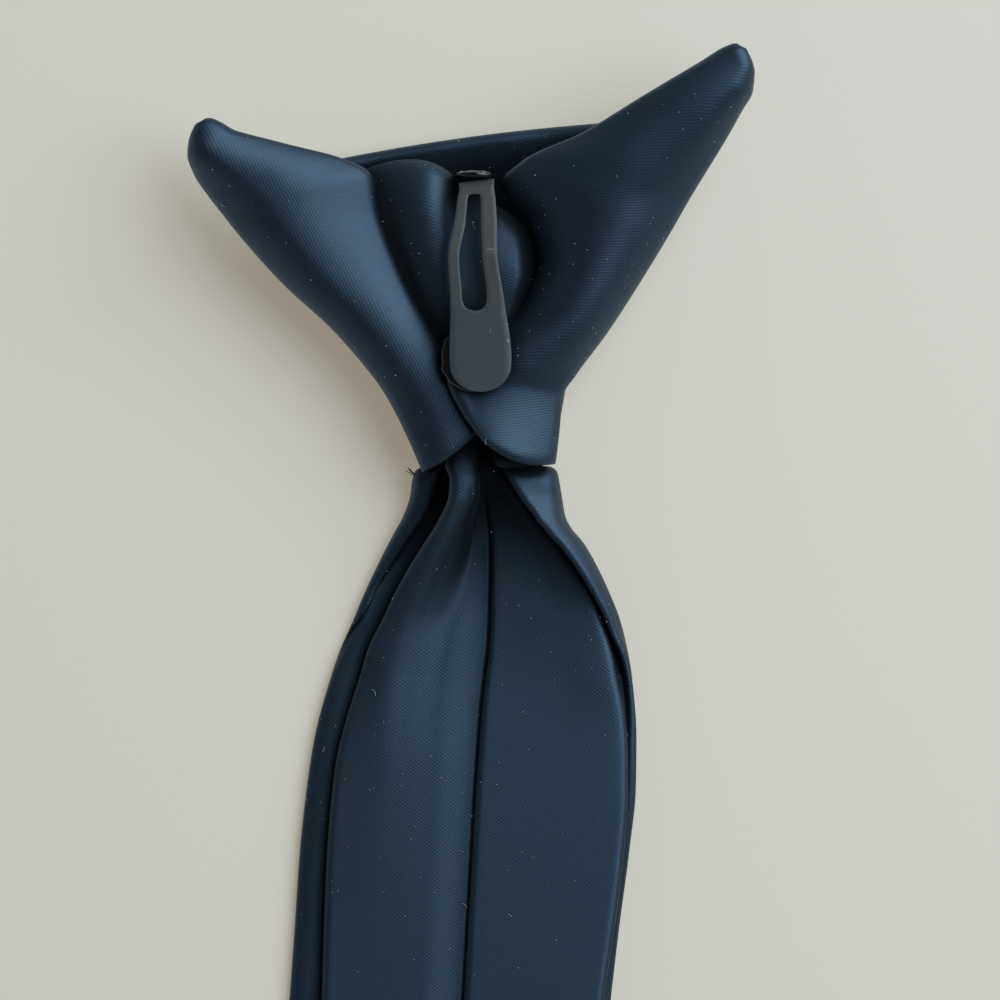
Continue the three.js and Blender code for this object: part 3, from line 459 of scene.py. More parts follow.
def front_blade():
    rows = curves({name: values[::-1] for name, values in FRONT_ROWS.items()}, "y")
    neck = np.linspace(NECK_TOP_Y, NECK_END_Y, 12)
    gathers = np.linspace(GATHERS_TOP_Y, FINE_END_Y, 100)
    lower = np.linspace(FINE_END_Y, GATHERS_END, 40)[1:]
    near = np.concatenate([neck, [STEP_FOOT_Y], gathers, lower])
    y, left, right = blade_run(rows, near, BLADE_TIP_Y, BLADE_WIDTH, count=70)
    at = {name: rows[name](np.maximum(y, GATHERS_END)) for name in FRONT_ROWS if name != "y"}
    gripped = mix(GRIPPED, 1, smoothstep(y, NECK_END_Y, 4))
    fade = np.where(y > STEP_Y, gripped, np.clip((right - left) / 30, 0, 1))
    bends = border_bends(y, at, fade)
    flat = np.zeros(SEAM_FLOOR - 2)
    grid, half = [], []
    for i, place in enumerate(y):
        middle = (left[i] + right[i]) / 2
        groove = float(seam_places(place, BLADE_TIP_Y, BLADE_WIDTH / 2, right[i] - left[i]))
        sides = []
        for border, name in ((left[i], "left"), (right[i], "right")):
            width = abs(border - middle) - groove
            sides.append(front_side(width, float(at["turn_" + name][i]), bends[name][i]))
        (out_l, up_l, half_l, dip_l), (out_r, up_r, half_r, dip_r) = sides
        floor = np.linspace(middle - groove, middle + groove, SEAM_FLOOR)[1:-1]
        x = across_seam(middle - (out_l + groove), floor, middle + (out_r + groove))
        dips = across_seam(dip_l, flat + SEAM_DEPTH, dip_r)
        up = across_seam(up_l, flat, up_r) - dips / 2
        grid.append(np.stack([x, np.full(len(x), place), at["bed"][i] + up], -1))
        half.append(across_seam(half_l, flat + BLADE_HALF, half_r) - dips / 2)
    grid = np.array(grid)
    half = round_ends(grid, np.array(half), BLADE_TIP_Y, radius=1.6)
    step = np.exp(-(((grid[..., 1] - STEP_Y) / 0.8) ** 2)) * smoothstep(np.abs(grid[..., 0]), 7, 9)
    half = half * (1 - STEP_THINNED * step)
    grid[..., 2] = np.maximum(grid[..., 2], half)
    return Cloth("front_blade", grid, half, unroll=0.3)


# The tail, with a ridge on either side of its seam where it is gathered. Each row has places
# across it and the heights of its middle layer there, the last ones of the valley by the seam,
# the ridges and the borders.

TAIL_ROWS = table(
    "y left left_crest left_lip left_foot seam right_foot right_crest right"
    " left_z left_crest_z left_lip_z left_foot_z seam_z right_foot_z right_crest_z right_z",
    (NECK_TOP_Y, -6.6, -5.2, -3.4, -2.2, -1.0, 0.2, 1.6, 3.6, 9.8, 10.2, 9.4, 7.2, 6.9, 6.85, 6.8, 6.75),
    (2.7, -7.2, -5.8, -3.0, -2.3, -1.2, 0.0, 1.8, 4.2, 10.1, 10.8, 10.0, 7.2, 6.9, 6.85, 6.8, 6.75),
    (-1.1, -7.5, -5.8, -2.8, -2.2, -0.9, 0.3, 2.0, 4.8, 10.4, 11.2, 10.6, 7.1, 6.9, 6.85, 6.85, 6.8),
    (-3.4, -6.8, -5.2, -2.6, -2.0, -0.7, 1.0, 3.6, 6.2, 10.8, 11.5, 10.7, 6.2, 5.7, 5.9, 7.1, 6.9),
    (-6.5, -7.0, -5.4, -2.8, -1.9, -0.5, 2.7, 5.7, 8.2, 10.8, 11.4, 10.2, 4.9, 4.5, 5.3, 7.0, 6.7),
    (-10.4, -8.6, -6.8, -4.2, -2.4, 0.1, 4.9, 9.1, 11.0, 10.1, 10.6, 9.0, 4.1, 4.0, 4.9, 6.7, 6.3),
    (-15.6, -11.8, -9.2, -6.2, -2.8, 0.5, 7.7, 13.2, 15.0, 8.6, 9.1, 7.4, 3.9, 4.0, 4.8, 6.1, 5.6),
    (-19.8, -14.4, -11.0, -8.0, -3.4, 0.5, 9.8, 15.8, 17.4, 7.3, 7.9, 6.5, 3.8, 3.95, 4.6, 5.5, 5.1),
    (-24.5, -17.0, -12.8, -10.0, -4.6, 0.4, 11.2, 18.2, 19.6, 6.2, 6.8, 5.8, 3.8, 3.9, 4.4, 4.9, 4.5),
    (-28.8, -19.0, -14.6, -11.6, -6.0, 0.3, 12.0, 19.5, 20.8, 5.4, 6.0, 5.3, 3.85, 3.85, 4.3, 4.6, 4.3),
    (-34.0, -21.6, -16.4, -13.0, -7.4, 0.0, 12.4, 20.9, 22.5, 4.7, 5.5, 5.0, 3.95, 3.85, 4.2, 4.5, 4.25),
    (-39.6, -23.3, -17.6, -14.0, -8.4, -0.7, 12.4, 21.9, 23.6, 4.2, 5.1, 4.7, 4.0, 3.85, 4.1, 4.5, 4.3),
    (-46.8, -25.6, -18.4, -14.6, -9.0, -1.5, 12.0, 22.8, 25.0, 4.0, 4.85, 4.6, 4.1, 3.95, 4.1, 4.3, 4.15),
    (-54.0, -27.4, -18.8, -14.6, -9.0, -2.0, 11.0, 22.8, 25.5, 4.0, 4.65, 4.45, 4.15, 4.0, 4.1, 4.2, 4.1),
    (-61.0, -28.3, -18.8, -14.6, -9.2, -2.5, 10.0, 22.6, 25.5, 4.0, 4.4, 4.3, 4.1, 4.05, 4.1, 4.15, 4.1),
    (-72.0, -29.2, -19.4, -14.6, -9.8, -3.1, 8.6, 21.6, 24.7, 4.0, 4.25, 4.2, 4.1, 4.1, 4.1, 4.1, 4.1),
    (GATHERS_END, -30.1, -21.4, -16.4, -12.0, -4.5, 5.2, 17.8, 21.3, 4.1, 4.1, 4.1, 4.1, 4.1, 4.1, 4.1, 4.1),
)
TAIL_PLACES = tuple("left left_crest left_lip left_foot seam right_foot right_crest right".split())
TAIL_HEIGHTS = tuple(name + "_z" for name in TAIL_PLACES)
TAIL_LIPS = np.array([0, 0.02, 0.05, 0.1, 0.17])
TAIL_WIDTH = 51.5
TAIL_SQUEEZED = 0.8
TAIL_EDGE = TAIL_HALF * 1.2
TAIL_FINE_Y = 2.5
LOWER_FLAP = 0.55


def tail_side(width):
    """Places across one half of the tail from its seam, closer together at the seam and border."""
    radius = min(TAIL_EDGE, 0.3 * width)
    arc = radius * (1 - np.cos(np.linspace(0, math.pi / 2, 8)))[::-1]
    inner = width * TAIL_LIPS
    return np.concatenate([inner, np.linspace(inner[-1], width - radius, 26)[1:-1], width - arc])


def tail_seam(rows, near, left, right):
    """Where the tail's seam lies, which moves to the middle below the gathers."""
    far_middle = (left + right)[len(near) :] / 2
    end_left, end_right = (float(rows[name](GATHERS_END)) for name in ("left", "right"))
    off_centre = rows["seam"](GATHERS_END) - (end_left + end_right) / 2
    far_seam = far_middle + off_centre * 0.98 ** np.arange(len(far_middle))
    return np.concatenate([rows["seam"](near), far_seam])


def tail_blade():
    rows = curves({name: values[::-1] for name, values in TAIL_ROWS.items()}, "y")
    neck = np.linspace(NECK_TOP_Y, 3, 8)
    gathers = np.linspace(TAIL_FINE_Y, FINE_END_Y, 105)
    near = np.concatenate([neck, gathers, np.linspace(FINE_END_Y, GATHERS_END, 40)[1:]])
    y, left, right = blade_run(rows, near, TAIL_TIP_Y, TAIL_WIDTH, count=56)
    seam = tail_seam(rows, near, left, right)
    flat = np.zeros(SEAM_FLOOR - 2)
    grid, half = [], []
    for i, place in enumerate(y):
        whole = right[i] - left[i]
        groove = float(seam_places(place, TAIL_TIP_Y, TAIL_WIDTH / 2, whole))
        groove = min(groove, 0.4 * min(seam[i] - left[i], right[i] - seam[i]))
        run_l, run_r = (tail_side(abs(border - seam[i]) - groove) for border in (left[i], right[i]))
        floor = np.linspace(seam[i] - groove, seam[i] + groove, SEAM_FLOOR)[1:-1]
        x = across_seam(seam[i] - (groove + run_l), floor, seam[i] + (groove + run_r))
        at = max(place, GATHERS_END)
        knots = [float(rows[name](at)) for name in TAIL_PLACES]
        if place < GATHERS_END:
            knots = np.linspace(left[i], right[i], len(TAIL_PLACES))
        height = smooth_curve(knots, [float(rows[name](at)) for name in TAIL_HEIGHTS])(x)
        tucked = LOWER_FLAP * (1 - smoothstep(run_l, 0.3, 7.0))
        step = SEAM_DEPTH * (1 - rounded(run_r, 0.5))
        dips = across_seam(tucked, flat + SEAM_DEPTH, step) * float(smoothstep(-place, 4, 12))
        to_border = across_seam(run_l[-1] - run_l, flat + TAIL_WIDTH, run_r[-1] - run_r)
        ply = mix(TAIL_SQUEEZED, TAIL_HALF, smoothstep(-place, 30, 72))
        thick = ply * rounded(to_border, min(TAIL_EDGE, 0.15 * whole)) - dips / 2
        grid.append(np.stack([x, np.full(len(x), place), height - dips / 2], -1))
        half.append(np.maximum(thick, 0))
    grid = np.array(grid)
    half = round_ends(grid, np.array(half), TAIL_TIP_Y, radius=1.4)
    return Cloth("tail_blade", grid, half, unroll=0.3)


# The folded cloth between the wings, under the clip

FOLD_ROWS = table(
    "left_x left_y right_x right_y bow left_z bulge_z seat_z swell_z right_z",
    (-9.2, 13.5, -1.6, 13.5, 0, 9.6, 10.2, 10.4, 10.4, 10.1),
    (-11.4, 20.7, 3.0, 20.7, 0, 9.2, 11.8, 12.2, 12.0, 9.0),
    (-15.3, 27.4, 6.0, 26.7, 0, 9.0, 13.4, 13.2, 12.7, 7.7),
    (-19.3, 35.7, 8.6, 33.9, 0.5, 9.2, 14.7, 13.3, 12.7, 7.0),
    (-21.6, 44.1, 8.4, 38.5, 2.0, 9.8, 15.5, 13.0, 12.0, 6.6),
    (-22.5, 50.4, 7.4, 40.5, 4.5, 10.4, 14.6, 11.5, 10.4, 6.3),
    (-22.7, 52.2, 6.8, 41.2, 5.2, 10.2, 13.0, 10.4, 9.4, 6.0),
)
FOLD_BOW = table(
    "across share",
    (0, 0),
    (0.19, 0.74),
    (0.35, 1),
    (0.45, 0.93),
    (0.53, 0.62),
    (0.64, 0.46),
    (0.8, 0.34),
    (1, 0),
)
FOLD_RUN = 40.0
FOLD_PLACES = (0, 0.36, 0.6, 0.87, 1)
FOLD_HEIGHTS = ("left_z", "bulge_z", "seat_z", "swell_z", "right_z")


def center_fold(below):
    row = curves(FOLD_ROWS)
    s = edge_spaced(1.0, 0.04, at_edges=8, inside=84)[0]
    u = edge_spaced(1.0, 0.05, at_edges=8, inside=94)[0]
    bow_share = curves(FOLD_BOW, "across")["share"](u)
    grid, half = [], []
    for place in s:
        start = np.array([row["left_x"](place), row["left_y"](place)])
        finish = np.array([row["right_x"](place), row["right_y"](place)])
        chord = (finish - start) / np.linalg.norm(finish - start)
        bow = bow_share * row["bow"](place)
        x = mix(start[0], finish[0], u) - chord[1] * bow
        y = mix(start[1], finish[1], u) + chord[0] * bow
        z = smooth_curve(FOLD_PLACES, [float(row[name](place)) for name in FOLD_HEIGHTS])(u)
        width = np.linalg.norm(finish - start)
        edge = rounded(closest_end(u) * width, radius=1.5)
        end = rounded((1 - place) * FOLD_RUN, radius=1.5)
        grid.append(np.stack([x, y, z], -1))
        half.append(FOLD_HALF * edge * end)
    grid, half = np.array(grid), np.array(half)
    grid[..., 2] += soft_waves(grid[..., 0], grid[..., 1], size=14, amount=0.14, seed=11)
    grid = rest_on(grid, half, below)
    return Cloth("center_fold", grid, half)


# The wings, between their outer and inner edges and highest along a crest. Rows run from the
# throat to the tip, crest is a share of the way across and pad goes from lapel to padded wing.

LEFT_WING = table(
    "outer_x outer_y inner_x inner_y outer_z crest_z inner_z crest pad bow",
    (-11.6, -2.3, -1.7, 5.0, 11.3, 13.9, 13.7, 0.55, 0, -0.6),
    (-14.1, 3.6, -1.5, 10.4, 11.3, 14.2, 13.7, 0.5, 0.1, -0.2),
    (-18.4, 12.1, -5.2, 15.9, 11.5, 15.0, 13.6, 0.48, 0.3, 0),
    (-26.9, 22.9, -11.3, 25.2, 11.9, 16.2, 13.6, 0.45, 0.6, 0),
    (-37.3, 32.8, -16.4, 35.3, 12.6, 17.5, 13.7, 0.4, 0.9, 0),
    (-45.2, 41.7, -19.9, 45.3, 13.9, 18.9, 13.9, 0.36, 1, 0),
    (-47.4, 44.5, -20.8, 51.0, 14.4, 19.6, 14.4, 0.34, 1, 0),
    (-49.9, 47.7, -25.3, 53.6, 15.5, 20.3, 15.4, 0.34, 1, 0),
    (-52.4, 51.5, -35.4, 56.2, 16.9, 21.3, 17.8, 0.36, 1, 0),
    (-53.4, 54.4, -45.4, 59.0, 18.7, 21.8, 20.0, 0.42, 0.9, 0),
    (-53.2, 56.7, -47.6, 60.3, 19.4, 21.6, 20.5, 0.46, 0.8, 0),
    (-52.5, 58.7, -49.3, 61.0, 20.1, 21.3, 20.7, 0.5, 0.7, 0),
    (-51.7, 60.0, -50.5, 60.9, 20.6, 21.1, 20.8, 0.5, 0.6, 0),
)
RIGHT_WING = table(
    "outer_x outer_y inner_x inner_y outer_z crest_z inner_z crest pad bow",
    (12.3, -0.7, -0.4, 3.1, 11.6, 16.3, 16.1, 0.82, 0, 1.7),
    (13.0, 5.4, -4.7, 8.6, 11.6, 16.4, 16.2, 0.8, 0, 0.7),
    (13.6, 11.5, -7.3, 14.8, 11.5, 16.4, 15.9, 0.68, 0.1, 0),
    (16.2, 15.9, -2.3, 19.4, 11.4, 16.7, 15.0, 0.54, 0.3, 0),
    (21.6, 23.4, 6.3, 27.0, 11.7, 17.4, 12.1, 0.44, 0.6, 0),
    (27.6, 32.8, 9.7, 36.4, 12.2, 18.4, 10.4, 0.43, 0.9, 0),
    (32.6, 41.0, 7.4, 43.7, 13.1, 19.2, 10.3, 0.41, 1, 0),
    (36.5, 47.7, 2.7, 50.0, 14.0, 20.0, 12.2, 0.38, 1, 0),
    (39.4, 52.5, 5.9, 53.3, 15.1, 20.8, 14.4, 0.35, 1, 0),
    (42.7, 58.0, 15.8, 57.7, 16.6, 21.8, 16.9, 0.34, 1, 0),
    (45.5, 63.0, 27.6, 64.8, 18.4, 22.9, 19.8, 0.35, 1, 0),
    (47.3, 66.2, 38.0, 71.1, 19.8, 23.4, 21.6, 0.38, 0.9, 0),
    (47.5, 68.8, 42.3, 73.8, 21.1, 23.4, 22.3, 0.42, 0.8, 0),
    (46.6, 71.9, 43.9, 74.4, 22.0, 23.1, 22.7, 0.5, 0.7, 0),
    (45.9, 73.4, 44.8, 74.4, 22.4, 22.9, 22.7, 0.5, 0.6, 0),
)
WING_LENGTH = 70.0


def wing(name, table_rows, below, seed):
    row = curves(table_rows)
    s = edge_spaced(1.0, 0.03, at_edges=7, inside=150)[0]
    at = {key: curve(s)[:, None] for key, curve in row.items()}
    width = np.hypot(at["outer_x"] - at["inner_x"], at["outer_y"] - at["inner_y"])
    half_ply = mix(LAPEL_HALF, WING_HALF, at["pad"])
    places = edge_spaced(width[:, 0], 2.2, at_edges=9, inside=80)
    u = places / width
    bow = 4 * u * (1 - u) * at["bow"]
    x = mix(at["outer_x"], at["inner_x"], u) - (at["inner_y"] - at["outer_y"]) / width * bow
    y = mix(at["outer_y"], at["inner_y"], u) + (at["inner_x"] - at["outer_x"]) / width * bow
    crest = at["crest"]
    foot = np.where(u < crest, at["outer_z"], at["inner_z"])
    away = np.where(u < crest, (crest - u) / crest, (u - crest) / (1 - crest))
    z = at["crest_z"] - (at["crest_z"] - foot) * away**2
    z = z + soft_waves(x, y, size=22, amount=0.2, seed=seed) * at["pad"]
    grid = np.stack([x, y, z], -1)
    edge = rounded(np.minimum(places, width - places), radius=2.0)
    ends = rounded(closest_end(s)[:, None] * WING_LENGTH, radius=1.6)
    half = half_ply * edge * ends
    grid = rest_on(grid, half, below)
    return Cloth(name, grid, half)


# The clip

LEAF_LENGTH = 38.0
LEAF_GAUGE = 0.8
LEAF_DROP = 1.7
LEAF_BEND = 13.5
LEAF_SLANT = 0.12
GRIP_ROUND = 33.0  # where the leaf's round end begins, along its length
HOOK_RADIUS = 1.3
TONGUE = 7.5
TONGUE_SHARE = 0.6
LUG_SHORT = 0.8
LUG_SQUARE = 2.6
LUG_DOME = 2.2
PAD_LUMPS = table(
    "angle size spread",
    (150, 0.05, 6),
    (198, 0.06, 7.5),
    (223, 0.03, 6),
)
LEAF_OUTLINE = table(
    "along centre width",
    (0, -1.9, 6.2),
    (6, -2.0, 7.3),
    (13.5, -2.64, 8.8),
    (14.6, -2.55, 8.9),
    (22, -1.75, 9.7),
    (32, -1.2, 11.1),
    (34, -1.2, 10.8),
    (36, -1.2, 8.9),
    (37.2, -1.2, 6.2),
    (37.85, -1.2, 2.8),
    (38, -1.2, 0.8),
)
SLOT_OUTLINE = table(
    "along centre width",
    (1.9, -2.35, 0.3),
    (2.0, -2.35, 1.6),
    (2.4, -2.35, 2.1),
    (8, -2.55, 2.9),
    (13.5, -2.95, 4.2),
    (20, -2.35, 4.5),
    (21.3, -2.3, 4.5),
    (22.6, -2.25, 3.7),
    (23.2, -2.25, 2.4),
    (23.45, -2.25, 0.3),
)
SLOT_START, SLOT_END = SLOT_OUTLINE["along"][[0, -1]]
SLOT_COLUMNS = (4, 5)


def leaf_places():
    """Places along the leaf for its rows of points, closer together at the bend and the ends."""
    down_slot = (1 - np.cos(np.linspace(0, math.pi, 46))) / 2
    parts = [
        np.linspace(0, SLOT_START, 5),
        mix(SLOT_START, SLOT_END, down_slot),
        LEAF_BEND + np.array([-0.6, -0.3, 0, 0.3, 0.6]),
        np.linspace(SLOT_END, GRIP_ROUND, 12),
        mix(GRIP_ROUND, LEAF_LENGTH, np.sin(np.linspace(0, math.pi / 2, 16))),
    ]
    return np.unique(np.concatenate(parts))


def leaf_row(place, outline, slot):
    """Five points across each arm of the leaf and one between them."""
    centre, width = float(outline["centre"](place)), float(outline["width"](place))
    slot_centre, slot_width = centre, min(0.3, width * 0.3)
    if SLOT_START <= place <= SLOT_END:
        slot_centre, slot_width = float(slot["centre"](place)), float(slot["width"](place))
    left_arm = np.linspace(centre - width / 2, slot_centre - slot_width / 2, 5)
    right_arm = np.linspace(slot_centre + slot_width / 2, centre + width / 2, 5)
    across = np.concatenate([left_arm, [slot_centre], right_arm])
    height = -LEAF_DROP * (1 - min(place / LEAF_BEND, 1))
    y, z = np.full(len(across), LEAF_TOP_Y - place), np.full(len(across), height)
    return np.stack([across, y, z], -1)


def leaf_hook(first):
    """Rows from the end of the hidden tongue up to the leaf's first row, over its rounded top."""
    rows = []
    for angle in np.linspace(0, math.pi / 2, 8)[1:]:
        row = first.copy()
        row[:, 1] = LEAF_TOP_Y - HOOK_RADIUS + HOOK_RADIUS * math.sin(angle)
        row[:, 2] = first[0, 2] - HOOK_RADIUS * (1 - math.cos(angle))
        rows.append(row)
    turned = rows[-1]
    for drop in np.linspace(0, TONGUE, 6)[1:]:
        row = turned - np.array([0, 0, drop])
        narrower = (1 - TONGUE_SHARE) * float(smoothstep(drop, 0, 3))
        row[:, 0] = mix(row[:, 0], first[:, 0].mean(), narrower)
        rows.append(row)
    return rows[::-1]


def leaf_faces(down, columns):
    """Faces between the rows, which lie down the leaf, with none where the slot is open."""
    index = np.arange(len(down) * columns).reshape(len(down), columns)
    faces = quads(index, reverse=True).reshape(len(down) - 1, columns - 1, 4)
    slotted = (down[:-1] >= SLOT_START - 1e-6) & (down[1:] <= SLOT_END + 1e-6)
    kept = ~(slotted[:, None] & np.isin(np.arange(columns - 1), SLOT_COLUMNS))
    return faces[kept]


def clip_leaf(material):
    outline, slot = curves(LEAF_OUTLINE, "along"), curves(SLOT_OUTLINE, "along")
    along = leaf_places()
    rows = [leaf_row(place, outline, slot) for place in along]
    hook = leaf_hook(rows[0])
    top_y = rows[0][0, 1]
    for row in rows:
        row[:, 1] -= HOOK_RADIUS * max(0, 1 - (top_y - row[0, 1]) / 3)
    grid = np.array(hook + rows)
    near_top = 1 - smoothstep(LEAF_TOP_Y - grid[..., 1], 0, 4)
    from_right = grid[..., 0].max(axis=1, keepdims=True) - grid[..., 0]
    grid[..., 1] -= LEAF_SLANT * from_right * near_top
    grid[..., 2] += LEAF_TOP_Z - LEAF_GAUGE / 2
    faces = leaf_faces(np.concatenate([np.zeros(len(hook)), along]), grid.shape[1])
    piece = mesh_object("clip_leaf_visual", grid.reshape(-1, 3), faces)
    bpy.context.scene.collection.objects.link(piece)
    solid = piece.modifiers.new("gauge", "SOLIDIFY")
    solid.thickness = LEAF_GAUGE * MM
    solid.offset = 0
    bevel = piece.modifiers.new("edges", "BEVEL")
    bevel.width = 0.13 * MM
    bevel.segments = 2
    bevel.limit_method = "ANGLE"
    bevel.angle_limit = math.radians(50)
    return finished(plain_mesh(piece), material, "clip_leaf")


def plain_mesh(piece):
    """Turns a piece's modifiers into its mesh and removes them."""
    evaluated = piece.evaluated_get(bpy.context.evaluated_depsgraph_get())
    mesh = bpy.data.meshes.new_from_object(evaluated)
    mesh.name = piece.name
    piece.modifiers.clear()
    piece.data = mesh
    return piece


def ring_stack(name, rings):
    """A closed body through rings of points, each as long as the others, capped at both ends."""
    rings = np.array(rings)
    count, around = rings.shape[:2]
    index = np.arange(count * around).reshape(count, around)
    following = np.roll(index, -1, axis=1)
    sides = np.stack([index[:-1], following[:-1], following[1:], index[1:]], -1).reshape(-1, 4).tolist()
    faces = sides + [index[0, ::-1].tolist(), index[-1].tolist()]
    mesh = bpy.data.meshes.new(name)
    mesh.from_pydata(((rings.reshape(-1, 3) + THROAT) * MM).tolist(), [], faces)
    mesh.polygons.foreach_set("use_smooth", np.ones(len(faces), bool))
    return bpy.data.objects.new(name, mesh)


def clip_lug(material):
    """The glossy plastic lug behind the top of the leaf, with a domed, slightly uneven head."""
    size = (LUG_HIGH - LUG_LOW) / 2 - np.array([0, LUG_SHORT / 2, 0])
    centre = (LUG_HIGH + LUG_LOW) / 2 - np.array([0, LUG_SHORT / 2, 0])
    turn = np.linspace(0, 2 * math.pi, 64, endpoint=False)
    cosine, sine = np.cos(turn), np.sin(turn)
    lumps = 0.07 * np.sin(5 * turn + 1.0) ** 2 + 0.02 * np.sin(11 * turn) ** 2
    uneven = 1 - lumps * (sine > 0)
    round_x = np.sign(cosine) * np.abs(cosine) ** (2 / LUG_SQUARE) * size[0] * uneven
    round_y = np.sign(sine) * np.abs(sine) ** (2 / LUG_SQUARE) * size[1] * uneven
    levels = [(LUG_LOW[2], 0.86), (LUG_LOW[2] + 0.25, 0.96), (LUG_LOW[2] + 0.6, 1)]
    for lift in np.linspace(0, math.pi / 2, 14)[:-1]:
        levels.append((LUG_HIGH[2] - LUG_DOME * (1 - math.sin(lift)), math.cos(lift) ** 0.7))
    levels.append((LUG_HIGH[2], 0.1))
    rings = []
    for z, share in levels:
        ring = [centre[0] + round_x * share, centre[1] + round_y * share, np.full(len(turn), z)]
        rings.append(np.column_stack(ring))
    return finished(ring_stack("clip_lug_visual", rings), material, "clip_lug")


def clip_pad(material):
    """The dark round pad behind the grip end of the leaf, with lumps on its left rim."""
    turn = np.linspace(0, 2 * math.pi, 96, endpoint=False)
    uneven = 1 + 0.012 * np.sin(5 * turn + 0.8) + 0.01 * np.sin(9 * turn)
    for angle, size, spread in zip(*PAD_LUMPS.values()):
        uneven = uneven + size * np.exp(-(((turn - math.radians(angle)) / math.radians(spread)) ** 2))
    middle, half = (PAD_TOP_Z + PAD_LOW_Z) / 2, (PAD_TOP_Z - PAD_LOW_Z) / 2
    rings = []
    for angle in np.linspace(-math.pi / 2, math.pi / 2, 12):
        inner = 0.3 if abs(angle) > 1.57 else 1
        radius = ((PAD_RADIUS - half) * inner + half * math.cos(angle)) * uneven
        x = PAD_CENTRE[0] + radius * np.cos(turn)
        y = PAD_CENTRE[1] + radius * np.sin(turn)
        rings.append(np.column_stack([x, y, np.full(len(turn), middle + half * math.sin(angle))]))
    return finished(ring_stack("clip_pad_visual", rings), material, "clip_pad")


# Nodes and shader groups

def add_node(tree, kind, given=(), **settings):
    """A new node with its settings, its inputs fed with values or from other nodes' outputs."""
    node = tree.nodes.new(kind)
    for key, value in settings.items():
        setattr(node, key, value)
    for label, value in dict(given).items():
        if isinstance(value, bpy.types.NodeSocket):
            tree.links.new(value, node.inputs[label])
        else:
            node.inputs[label].default_value = value
    return node


def maths(tree, operation, *values):
    return add_node(tree, "ShaderNodeMath", enumerate(values), operation=operation).outputs[0]


def vector_maths(tree, operation, *values):
    return add_node(tree, "ShaderNodeVectorMath", enumerate(values), operation=operation)


def noise(tree, vector, scale, detail=2.0, roughness=0.5):
    given = {"Vector": vector, "Scale": scale, "Detail": detail, "Roughness": roughness}
    return add_node(tree, "ShaderNodeTexNoise", given).outputs["Fac"]


def blend(tree, share, first, second):
    """A mix of two colours, each a colour or another node's output."""
    first, second = ((*value, 1) if isinstance(value, tuple) else value for value in (first, second))
    given = {"Factor": share, "A": first, "B": second}
    return add_node(tree, "ShaderNodeMix", given, data_type="RGBA").outputs["Result"]


def bump(tree, height, strength, distance):
    """The normal of a surface with small heights on it, distance in millimetres."""
    given = {"Height": height, "Strength": strength, "Distance": distance * MM}
    return add_node(tree, "ShaderNodeBump", given).outputs[0]


def placed(tree, group, **values):
    return add_node(tree, "ShaderNodeGroup", values, node_tree=group)


def object_place(tree):
    return tree.nodes.new("ShaderNodeTexCoord").outputs["Object"]


def new_group(name, inputs, outputs):
    """An empty shader group, with the sockets that it takes in and those that it feeds."""
    group = bpy.data.node_groups.new(name, "ShaderNodeTree")
    for label, kind in inputs:
        group.interface.new_socket(name=label, in_out="INPUT", socket_type=kind)
    for label, kind in outputs:
        group.interface.new_socket(name=label, in_out="OUTPUT", socket_type=kind)
    return group, group.nodes.new("NodeGroupInput").outputs, group.nodes.new("NodeGroupOutput").inputs


def twill_group():
    """Twill lines across X: how high the cloth stands, and how dark its grooves are, painted shade
    mixed with random tone along the threads.
    """
    group, given, made = new_group(
        "twill weave",
        [("Cloth", "NodeSocketVector"), ("Pitch", "NodeSocketFloat")],
        [("Height", "NodeSocketFloat"), ("Thread tone and groove shade", "NodeSocketFloat")],
    )
    split = add_node(group, "ShaderNodeSeparateXYZ", {0: given["Cloth"]}).outputs
    wander = noise(group, given["Cloth"], scale=0.35)
    across = maths(group, "ADD", split["X"], maths(group, "MULTIPLY", wander, 0.5))
    turns = maths(group, "DIVIDE", across, given["Pitch"])
    wave = maths(group, "SINE", maths(group, "MULTIPLY", turns, 2 * math.pi))
    ridge = maths(group, "MULTIPLY_ADD", wave, 0.5, 0.5)
    drawn_out = {
        "X": maths(group, "MULTIPLY", split["X"], 3.2),
        "Y": maths(group, "MULTIPLY", split["Y"], 0.7),
    }
    stretched = add_node(group, "ShaderNodeCombineXYZ", drawn_out)
    thread = noise(group, stretched.outputs[0], scale=1.6, detail=3, roughness=0.6)
    # Painted shade: the twill's grooves darken the colour mask and its ridges lighten it, mixed with random
    # tone along the threads.
    dark = maths(group, "MULTIPLY_ADD", thread, 0.6, maths(group, "MULTIPLY", ridge, 0.4))
    group.links.new(maths(group, "MULTIPLY_ADD", thread, 0.7, ridge), made["Height"])
    group.links.new(dark, made["Thread tone and groove shade"])
    return group


def mark_group():
    """One worn spot: an oval with a ragged rim about a place, as a mask."""
    group, given, made = new_group(
        "worn spot",
        [(label, "NodeSocketVector") for label in ("Place", "Centre", "Reach")],
        [("Mask", "NodeSocketFloat")],
    )
    away = vector_maths(group, "SUBTRACT", given["Place"], given["Centre"]).outputs["Vector"]
    scaled = vector_maths(group, "DIVIDE", away, given["Reach"]).outputs["Vector"]
    length = vector_maths(group, "LENGTH", scaled).outputs["Value"]
    rim = noise(group, given["Place"], scale=4000)
    ragged = maths(group, "MULTIPLY_ADD", rim, 1.6, -0.3)
    inside = maths(group, "MULTIPLY", maths(group, "SUBTRACT", ragged, length), 5)
    clamped = add_node(group, "ShaderNodeClamp", {0: inside})
    group.links.new(clamped.outputs[0], made["Mask"])
    return group


# Materials

def new_material(name, **values):
    material = bpy.data.materials.new(name)
    material.use_nodes = True
    shader = material.node_tree.nodes["Principled BSDF"]
    for label, value in values.items():
        shader.inputs[label.replace("_", " ")].default_value = value
    return material, material.node_tree, shader.inputs


TWILL_PITCH = 0.5
